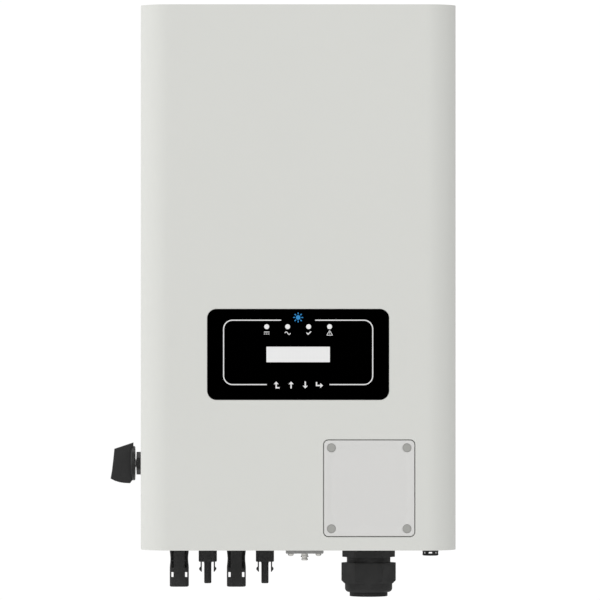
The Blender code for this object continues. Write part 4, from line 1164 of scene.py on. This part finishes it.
def buildTerminals():
    low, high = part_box("ac_terminal_block")
    pitch = terminal["pitch"]
    screwZ = high.z - terminal["screwDrop"]
    groove = terminal["groove"]
    wayX = [bayMiddle.x + (index - (terminal["ways"] - 1) / 2) * pitch for index in range(terminal["ways"])]
    block = shaped("terminalBlock", addBlock, low, high)
    roundEdges(block, 0.0008)
    bm = bmesh.new()
    for x in wayX:
        addRod(bm, 0.0030, "Y", low.y - reach, low.y + 0.010, 24, (x, 0, screwZ))
        entry = roundedOutline((0.0064, 0.0064), 0.0010, (x, low.z + terminal["entryRise"]), 4)
        addPrism(bm, entry, "Y", low.y - reach, low.y + 0.016)
    for x in wayX[1:]:
        side = x - pitch / 2
        start = (side - groove, low.y - reach, low.z - reach)
        addBlock(bm, start, (side + groove, low.y + 0.003, high.z + reach))
    combine(block, bm, "DIFFERENCE")
    finishPiece(block, "terminal", ["ac_terminal_block"])

    head = (low.y + 0.0050, low.y + 0.0095)
    screws = shaped("terminalScrews", addRod, 0.0026, "Y", *head, 24, (wayX[0], 0, screwZ), 0.0003)
    values = {"Count": terminal["ways"], "Step": (pitch, 0, 0), "Material": finishes["zinc"]}
    rowOfCopies.run(screws, values)
    bm = bmesh.new()
    for x in wayX:
        start = (x - 0.0022, low.y + 0.004, screwZ - 0.0005)
        addBlock(bm, start, (x + 0.0022, low.y + 0.0058, screwZ + 0.0005))
    combine(screws, bm, "DIFFERENCE")
    finishPiece(screws, "zinc", ())
    repaint("wiring_bay_shield", "sheet")


buildBayCover()
buildBayScrews()
buildTerminals()
print("wiring bay built")


knob = {
    "discRadius": 0.0176,
    "discDepth": 0.0042,
    "discEdge": 0.0012,
    "bladeHalf": 0.0055,
    "round": 0.0012,
    "bore": 0.0043,
    "boreDepth": 0.0093,
    "nutCorner": 0.01175,
    "nutBore": 0.0080,
}


def buildKnob():
    # a disc with a finger blade across it, tallest at the bottom
    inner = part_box("dc_knob")[1].x
    edge = knob["discEdge"]
    radius = knob["discRadius"]
    outer = inner - knob["discDepth"]
    disc = [
        (0, outer), (radius - edge, outer, 0.0010), (radius, outer + edge, 0.0010),
        (radius, inner - edge / 2, 0.0003), (radius - edge / 2, inner), (0, inner),
    ]
    body = shaped("isolatorKnob", addTurned, filleted(disc, 0, 4, False), "X", 72, knobAxis)
    blade = [
        (0.0019, 0.0150), (0.0019, 0.0213), (0.0213, 0.0148), (0.0219, 0.0077), (0.0237, -0.0076),
        (0.0252, -0.0157), (0.0204, -0.0181), (0.0160, -0.0194), (0.0108, -0.0202),
        (0.0052, -0.0205), (0.0026, -0.0170),
    ]
    outline = [(inner - out, knobAxis.z + up) for out, up in blade]
    half = knob["bladeHalf"]
    bm = bmesh.new()
    addPrism(bm, outline, "Y", knobAxis.y - half, knobAxis.y + half)
    rims = [edge for edge in bm.edges if abs(edge.verts[0].co.y - edge.verts[1].co.y) < 1e-6]
    bmesh.ops.bevel(bm, geom=rims, offset=knob["round"], segments=4, profile=0.5, affect="EDGES")
    combine(body, bm, "UNION")
    cut(body, addRod, knob["bore"], "X", inner - knob["boreDepth"], inner + reach, 32, knobAxis)
    finishPiece(body, "blackGloss", ["dc_knob"], body="dc_knob")

    # pale pointer line on the upper end of the blade
    line = [(inner - 0.0216, knobAxis.z + 0.0115), (inner - 0.0223, knobAxis.z + 0.0045)]
    piece = shaped(
        "knobPointer", addPrism, stroke(line, 0.0003), "Y", knobAxis.y - 0.0009, knobAxis.y + 0.0009
    )
    finishPiece(piece, "inkWhite", body="dc_knob")


def hexOutline(corner, radius, first=0):
    return filleted(arcPoints((0, 0), corner, first, first + 300, 5), radius, 4)


def buildKnobNut():
    low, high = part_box("dc_switch_nut")
    corner = knob["nutCorner"]
    outline = [(knobAxis.y + a, knobAxis.z + b) for a, b in hexOutline(corner, 0.0006, 30)]
    nut = shaped("isolatorNut", addPrism, outline, "X", low.x, high.x)
    barrel = [
        (0, low.x - 0.001), (corner - 0.0004, low.x - 0.001), (corner + 0.001, low.x + 0.0006),
        (corner + 0.001, high.x - 0.0006), (corner - 0.0004, high.x + 0.001), (0, high.x + 0.001),
    ]
    bm = bmesh.new()
    addTurned(bm, barrel, "X", 64, knobAxis)
    combine(nut, bm, "INTERSECT")
    cut(nut, addRod, knob["nutBore"], "X", low.x - reach, high.x + reach, 40, knobAxis)
    finishPiece(nut, "blackGloss", ["dc_switch_nut"])


buildKnob()
buildKnobNut()
repaint("dc_switch_shaft", "shaft")
repaint("dc_switch_body", "darkCasing")
print("isolator built")


shell = {
    "width": 0.0194,
    "waist": 0.0180,
    "corner": 0.0058,
    "end": -0.041,
    "seat": 0.0007,
    "chamfer": 0.0008,
    "flange": -0.0035,
    "gripEnd": -0.0215,
    "slotX": 0.0070,
    "channelX": 0.00675,
    "channelWidth": 0.0023,
    "channelFloor": 0.0050,
    "channels": ((-0.0042, -0.0139), (-0.0147, -0.0215)),
    "stem": 0.0077,
    "stemTop": 0.0125,
}
probe = {
    "width": 0.0186,
    "corner": 0.0056,
    "headEnd": -0.0155,
    "noseEnd": -0.0377,
    "nose": 0.0037,
    "fingerHalf": 0.0035,
    "bore": 0.0027,
}


def shellWidth(level):
    # full width at the flange and below the finger grip, slim at the waist
    if level > shell["flange"] or level < shell["gripEnd"]:
        return shell["width"]
    share = (level - shell["flange"]) / (shell["gripEnd"] - shell["flange"])
    return shell["width"] - (shell["width"] - shell["waist"]) * math.sin(math.pi * share) ** 1.5


def squareRing(width, corner, level):
    return [(a, b, level) for a, b in roundedOutline((width, width), corner, (0, 0), 8)]


def addShellBore(bm):
    # bore for the mating pin, narrowed above for the contact
    bore = [
        (0, shell["end"] - reach), (0.0052, shell["end"] - reach), (0.0041, shell["end"] + 0.0006),
        (0.0041, -0.016), (0.00225, -0.016), (0.00225, shell["stemTop"] + reach),
        (0, shell["stemTop"] + reach),
    ]
    addTurned(bm, bore, "Z", 32)


def addBothFaces(bm, outline, near, far):
    # the same shape on the front and on the back
    for face in (-1, 1):
        addPrism(bm, outline, "Y", *sorted((face * near, face * far)))


def addMirrored(bm, width, low, high, centreX, near, far, corner):
    # four equal pockets, left and right on the front and the back
    for side in (-1, 1):
        outline = roundedOutline((width, high - low), corner, (side * centreX, (low + high) / 2), 4)
        addBothFaces(bm, outline, near, far)


def buildShell(number):
    node = f"pv_pin_shell_{number}"
    levels = [shell["seat"], 0.0, shell["flange"]]
    levels += [shell["flange"] + (shell["gripEnd"] - shell["flange"]) * step / 12 for step in range(1, 13)]
    levels += [-0.026, -0.032, shell["end"] + shell["chamfer"]]
    rings = []
    for level in levels:
        width = shellWidth(level)
        rings.append(squareRing(width, shell["corner"] * width / shell["width"], level))
    chamfer = shell["chamfer"]
    rings.append(squareRing(shell["width"] - 2 * chamfer, shell["corner"] - chamfer, shell["end"]))
    body = shaped(f"pinShell_{number}", addLoft, rings)
    join(body, addRod, shell["stem"], "Z", shell["seat"] - 0.003, shell["stemTop"], 32)

    # a curved tread line stands on the middle of both faces
    tread = [(-0.0046, -0.0101), (-0.0024, -0.0088), (0.0, -0.0083), (0.0024, -0.0088), (0.0046, -0.0101)]
    join(body, addBothFaces, stroke(tread, 0.0006), 0.0085, 0.0093)

    bm = bmesh.new()
    addShellBore(bm)
    for side in (-1, 1):
        x = side * shell["slotX"]
        addBlock(bm, (x - 0.0013, -0.0040, shell["end"] - reach), (x + 0.0013, 0.0040, -0.022))
    combine(body, bm, "DIFFERENCE")
    cut(body, addMirrored, 0.0025, -0.0318, -0.0260, shell["slotX"], -0.001, 0.015, 0.0004)
    bm = bmesh.new()
    for top, bottom in shell["channels"]:
        addMirrored(
            bm, shell["channelWidth"], bottom, top, shell["channelX"], shell["channelFloor"], 0.012, 0.0005
        )
    combine(body, bm, "DIFFERENCE")
    moveUnder(body, node)
    roundEdges(body, 0.00015, 1)
    finishPiece(body, "black", [node])


def buildProbe(number):
    node = f"pv_latch_probe_{number}"
    width = probe["width"]
    corner = probe["corner"]
    headEnd = probe["headEnd"]
    rings = [
        squareRing(width, corner, shell["seat"]),
        squareRing(width, corner, headEnd + 0.0008),
        squareRing(width - 0.0003, corner - 0.0002, headEnd + 0.0003),
        squareRing(width - 0.0010, corner - 0.0005, headEnd),
    ]
    body = shaped(f"latchProbe_{number}", addLoft, rings)
    nose = [
        (0, probe["noseEnd"]), (probe["nose"] - 0.0006, probe["noseEnd"], 0.0002),
        (probe["nose"], probe["noseEnd"] + 0.0007, 0.0005),
        (probe["nose"], headEnd - 0.002, 0.0006), (probe["nose"] + 0.0006, headEnd + 0.001),
        (probe["nose"] + 0.0006, headEnd + 0.003), (0, headEnd + 0.003),
    ]
    join(body, addRod, shell["stem"], "Z", -0.002, shell["stemTop"], 32)
    join(body, addTurned, filleted(nose, 0, 4, False), "Z", 36)

    # two spring fingers with barbs
    finger = [
        (0.0061, headEnd + 0.003), (0.0061, -0.0259, 0.0002), (0.0068, -0.0259, 0.0003),
        (0.0088, -0.0235, 0.0003), (0.0088, -0.0222, 0.0004), (0.0074, -0.0207, 0.0004),
        (0.0074, headEnd - 0.0002, 0.0006), (0.0080, headEnd + 0.003),
    ]
    bm = bmesh.new()
    for side in (-1, 1):
        outline = [(side * a, b) for a, b in filleted(finger, 0, 3)]
        addPrism(bm, outline, "Y", -probe["fingerHalf"], probe["fingerHalf"])
    combine(body, bm, "UNION")
    cut(body, addRod, probe["bore"], "Z", probe["noseEnd"] - reach, shell["stemTop"] + reach, 28)

    # shallow grips on the front and back of the head
    grip = roundedOutline((0.0110, 0.0090), 0.0020, (0, -0.0078), 5)
    cut(body, addBothFaces, grip, width / 2 - 0.0003, 0.0120)
    moveUnder(body, node)
    roundEdges(body, 0.00015, 1)
    finishPiece(body, "black", [node])


for number in (1, 2):
    buildShell(number)
    buildProbe(number)
for number in (1, 2, 3, 4):
    repaint(f"pv_contact_{number}", "tin")
repaint("pv_retaining_plate", "zinc")
print("connectors built")


port = {"corner": 0.0022, "edge": 0.0006, "socketHole": 0.0045, "screwHole": 0.0020, "slotHalf": 0.0004}


def buildPortPlate():
    low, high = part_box("comms_plate")
    size = high - low
    centre = middle("comms_plate")
    socket = middle("antenna_socket")
    edge = port["edge"]
    levels = ((edge, high.z), (0, high.z - edge), (0, low.z + edge), (edge, low.z))
    rings = []
    for inset, z in levels:
        outer = (size.x - 2 * inset, size.y - 2 * inset)
        outline = roundedOutline(outer, port["corner"] - inset, (centre.x, centre.y), 6)
        rings.append([(a, b, z) for a, b in outline])
    plate = shaped("commsPlate", addLoft, rings)
    bm = bmesh.new()
    addRod(bm, port["socketHole"], "Z", low.z - reach, high.z + reach, 36, socket)
    for number in (1, 2):
        screw = middle(f"comms_screw_{number}")
        addRod(bm, port["screwHole"], "Z", low.z - reach, high.z + reach, 24, screw)
    combine(plate, bm, "DIFFERENCE")
    finishPiece(plate, "plateGrey", ["comms_plate"])
    repaint("comms_gasket", "rubber")


def buildPortScrew(number):
    # pan head with a cross recess
    node = f"comms_screw_{number}"
    low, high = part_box(node)
    screw = middle(node)
    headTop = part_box("comms_plate")[0].z - 0.0003
    profile = [
        (0, low.z), (0.0016, low.z, 0.001), (0.0028, low.z + 0.0010, 0.0010),
        (0.0031, headTop - 0.0003, 0.0002), (0.0030, headTop), (0.0015, headTop), (0.0015, high.z),
        (0, high.z),
    ]
    piece = shaped(f"portScrew_{number}", addTurned, filleted(profile, 0, 4, False), "Z", 32, screw)
    for across, along in ((port["slotHalf"], 0.0017), (0.0017, port["slotHalf"])):
        bm = bmesh.new()
        start = (screw.x - across, screw.y - along, low.z - 0.001)
        addBlock(bm, start, (screw.x + across, screw.y + along, low.z + 0.0012))
        combine(piece, bm, "DIFFERENCE")
    finishPiece(piece, "nickel", [node])


def buildSocket():
    # coaxial socket with two collars and a hollow tip round its pin
    low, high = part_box("antenna_socket")
    socket = middle("antenna_socket")
    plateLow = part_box("comms_plate")[0].z - 0.0003
    profile = [
        (0, low.z + 0.0055), (0.0021, low.z + 0.0055), (0.0021, low.z, 0.0002),
        (0.0029, low.z, 0.0002), (0.0029, baseZ - 0.0126), (0.0034, baseZ - 0.0125, 0.0002),
        (0.0034, baseZ - 0.0113, 0.0002), (0.0025, baseZ - 0.0110), (0.0025, baseZ - 0.0100),
        (0.0040, baseZ - 0.0098, 0.0002), (0.0040, baseZ - 0.0086, 0.0002),
        (0.0033, baseZ - 0.0083), (0.0033, plateLow), (0.0041, plateLow), (0.0041, high.z),
        (0, high.z),
    ]
    piece = shaped("antennaSocket", addTurned, filleted(profile, 0, 3, False), "Z", 40, socket)
    finishPiece(piece, "nickel", ["antenna_socket"])

    bm = bmesh.new()
    addRod(bm, 0.00045, "Z", low.z + 0.0012, low.z + 0.0058, 16, socket, 0.0002)
    finishPiece(rawObject("antennaPin", bm), "tin", ())


buildPortPlate()
buildPortScrew(1)
buildPortScrew(2)
buildSocket()
print("communication port built")


gland = {
    "flangeCorner": 0.0271,
    "flangeLow": -0.0107,
    "neck": 0.0223,
    "neckLow": -0.0340,
    "thread": 0.0198,
    "nutCorner": 0.0280,
    "gripHigh": -0.0164,
    "gripLow": -0.0377,
    "chamfer": 0.0031,
    "collar": 0.02425,
    "collarLow": -0.0466,
    "mouth": 0.0198,
}


def hexBarrel(name, corner, levels, chamfers, radius):
    # a hexagon whose corners are turned off to a cone at both ends
    low, high = levels
    lowerCut, upperCut = chamfers
    piece = shaped(name, addPrism, hexOutline(corner, radius), "Z", low, high)
    profile = [
        (0, low - 0.001), (corner - lowerCut - 0.001, low - 0.001),
        (corner + 0.001, low + lowerCut + 0.001), (corner + 0.001, high - upperCut - 0.001),
        (corner - upperCut - 0.001, high + 0.001), (0, high + 0.001),
    ]
    bm = bmesh.new()
    addTurned(bm, profile, "Z", 96)
    combine(piece, bm, "INTERSECT")
    return piece


def buildGlandBody():
    levels = (gland["flangeLow"], shell["seat"])
    body = hexBarrel("glandBody", gland["flangeCorner"], levels, (0.0004, 0.0004), 0.0005)
    overlap = gland["flangeLow"] + 0.002
    neck = [
        (0, gland["neckLow"]), (gland["neck"], gland["neckLow"]), (gland["neck"], overlap),
        (gland["thread"], overlap), (gland["thread"], 0.015), (0, 0.015),
    ]
    join(body, addTurned, neck, "Z", 64)
    bore = [
        (0, gland["neckLow"] - reach), (gland["mouth"], gland["neckLow"] - reach),
        (gland["mouth"], -0.0220), (0.0160, -0.0180), (0.0160, 0.020), (0, 0.020),
    ]
    cut(body, addTurned, bore, "Z", 64)
    roundEdges(body, 0.0004, angle=30.0)
    moveUnder(body, "gland_seal")
    finishPiece(body, "black", ["gland_body"])

    # the thread shows on the neck between the body and the dome nut
    radius = gland["neck"] - 0.0001
    foot = gland["gripHigh"] - 0.0012
    crest = radius + 0.00022
    ridge = [(radius, foot), (radius, foot + 0.0011), (crest, foot + 0.00075), (crest, foot + 0.00035)]
    ridges = shaped("glandNeckThread", addTurned, ridge, "Z", 72)
    rowOfCopies.run(ridges, {"Count": 4, "Step": (0, 0, 0.0015), "Material": finishes["black"]})
    moveUnder(ridges, "gland_seal")
    finishPiece(ridges, "black", ())


def buildDomeNut():
    levels = (gland["gripLow"], gland["gripHigh"])
    nut = hexBarrel("glandDomeNut", gland["nutCorner"], levels, (gland["chamfer"], 0.0005), 0.0007)
    collarRound = gland["collar"] - gland["mouth"] - 0.0004
    centre = (gland["collar"] - collarRound, gland["collarLow"] + collarRound)
    collar = [(0, gland["collarLow"])] + arcPoints(centre, collarRound, 270, 360, 12)
    collar += [(gland["collar"], gland["gripLow"] + 0.002), (0, gland["gripLow"] + 0.002)]
    join(nut, addTurned, collar, "Z", 96)
    bore = [
        (0, gland["collarLow"] - reach), (gland["mouth"], gland["collarLow"] - reach),
        (gland["mouth"], -0.0430), (0.0226, -0.0400), (0.0226, gland["gripHigh"] + reach),
        (0, gland["gripHigh"] + reach),
    ]
    cut(nut, addTurned, bore, "Z", 72)
    roundEdges(nut, 0.0003, angle=30.0)
    moveUnder(nut, "gland_seal")
    finishPiece(nut, "black", ["gland_dome_nut"], body="gland_nut")


def buildSeal():
    low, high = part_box("gland_seal")
    outer = (high.x - low.x) / 2
    profile = [
        (0.0140, low.z, 0.0006), (outer, low.z, 0.0005), (outer, high.z, 0.0005),
        (0.0140, high.z, 0.0005),
    ]
    piece = shaped("glandSealRing", addTurned, filleted(profile, 0, 4), "Z", 72, middle("gland_seal"))
    finishPiece(piece, "rubber", ["gland_seal"], body="gland_seal")


vent = {
    "stem": 0.0058,
    "stemTop": 0.012,
    "slot": (0.0038, 0.0022),
    "slotZ": -0.0065,
    "core": 0.0055,
    "wall": 0.0013,
}


def buildVent():
    # eight slots round the cap open into a ring-shaped chamber; one more slot crosses the core
    low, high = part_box("vent_plug")
    radius = (high.x - low.x) / 2
    bottom = low.z - baseZ
    cap = [
        (0, bottom), (radius, bottom, 0.0010), (radius, shell["seat"], 0.0003),
        (vent["stem"], shell["seat"]), (vent["stem"], vent["stemTop"]), (0, vent["stemTop"]),
    ]
    plug = shaped("ventPlug", addTurned, filleted(cap, 0, 5, False), "Z", 56)
    chamberTop = vent["slotZ"] + vent["slot"][1] / 2
    chamberLow = vent["slotZ"] - vent["slot"][1] / 2
    wallInner = radius - vent["wall"]
    chamber = [
        (vent["core"], chamberLow), (wallInner, chamberLow), (wallInner, chamberTop),
        (vent["core"], chamberTop),
    ]
    cut(plug, addTurned, chamber, "Z", 56)
    slot = roundedOutline(vent["slot"], 0.0005, (0, vent["slotZ"]), 3)
    cut(plug, addPrism, slot, "Y", -0.012, 0.012)
    for turn in (45, 90, 135):
        bm = bmesh.new()
        addPrism(bm, slot, "Y", -0.012, -wallInner + 0.0003)
        addPrism(bm, slot, "Y", wallInner - 0.0003, 0.012)
        bm.transform(Matrix.Rotation(math.radians(turn), 4, "Z"))
        combine(plug, bm, "DIFFERENCE")
    moveUnder(plug, "vent_plug")
    finishPiece(plug, "black", ["vent_plug"])


buildGlandBody()
buildDomeNut()
buildSeal()
buildVent()
repaint("gland_lock_nut", "black")
repaint("gland_washer", "zinc")
print("gland and vent built")


canBand = 0.006
choke = {"wire": 0.0010, "coreInset": 0.0024, "corner": 0.004, "turns": 40}


def buildChoke(node, innerRadius):
    # copper turns laid side by side round a taped ring core
    low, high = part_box(node)
    centre = middle(node)
    outer = (high.x - low.x) / 2
    half = (high.y - low.y) / 2
    wire = choke["wire"]
    inset = choke["coreInset"]
    core = [
        (innerRadius + inset, low.y + inset), (outer - inset, low.y + inset),
        (outer - inset, high.y - inset), (innerRadius + inset, high.y - inset),
    ]
    piece = shaped(node + "Core", addTurned, filleted(core, 0.002, 3), "Y", 64, centre)
    finishPiece(piece, "core")

    loop = [
        (innerRadius + wire, wire - half), (outer - wire, wire - half), (outer - wire, half - wire),
        (innerRadius + wire, half - wire),
    ]
    turns = shaped(node + "Turns", addLoop, filleted(loop, choke["corner"] - wire, 4), wire)
    values = {
        "Count": choke["turns"],
        "Tilt": (math.pi / 2, 0, 0),
        "Centre": tuple(centre),
        "Material": finishes["copper"],
    }
    ringOfCopies.run(turns, values)
    finishPiece(turns, "copper", [node])


def buildCapacitor(number):
    # sleeved can with a bare vented end
    node = f"dc_link_capacitor_{number}"
    low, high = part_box(node)
    centre = middle(node)
    radius = (high.x - low.x) / 2
    sleeve = [
        (radius * 0.82, low.y + 0.0006), (radius * 0.86, low.y, 0.0004), (radius, low.y, 0.0015),
        (radius, high.y - canBand - 0.002, 0.001),
        (radius - 0.0012, high.y - canBand, 0.001),
        (radius, high.y - canBand + 0.002, 0.001), (radius, high.y, 0.001),
        (radius * 0.82, high.y),
    ]
    piece = shaped(f"capacitorSleeve_{number}", addTurned, filleted(sleeve, 0, 4), "Y", 56, centre)
    finishPiece(piece, "sleeve", [node])

    bm = bmesh.new()
    addRod(bm, radius * 0.84, "Y", low.y + 0.0008, high.y - 0.001, 48, centre, 0.0004)
    can = rawObject(f"capacitorCan_{number}", bm)
    for across, along in ((0.0006, radius * 0.55), (radius * 0.55, 0.0006)):
        bm = bmesh.new()
        start = (centre.x - across, low.y - 0.001, centre.z - along)
        addBlock(bm, start, (centre.x + across, low.y + 0.0013, centre.z + along))
        combine(can, bm, "DIFFERENCE")
    finishPiece(can, "aluminium")


def buildInside():
    for node in ("main_board", "display_board"):
        repaint(node, "board")
    for node in ("lcd_module", "igbt_module", "emi_filter"):
        repaint(node, "darkCasing")
    repaint("display_ribbon", "ribbon")


buildChoke("boost_inductor_1", 0.014)
buildChoke("boost_inductor_2", 0.014)
buildChoke("output_inductor", 0.016)
buildCapacitor(1)
buildCapacitor(2)
buildInside()
print("inside finished")
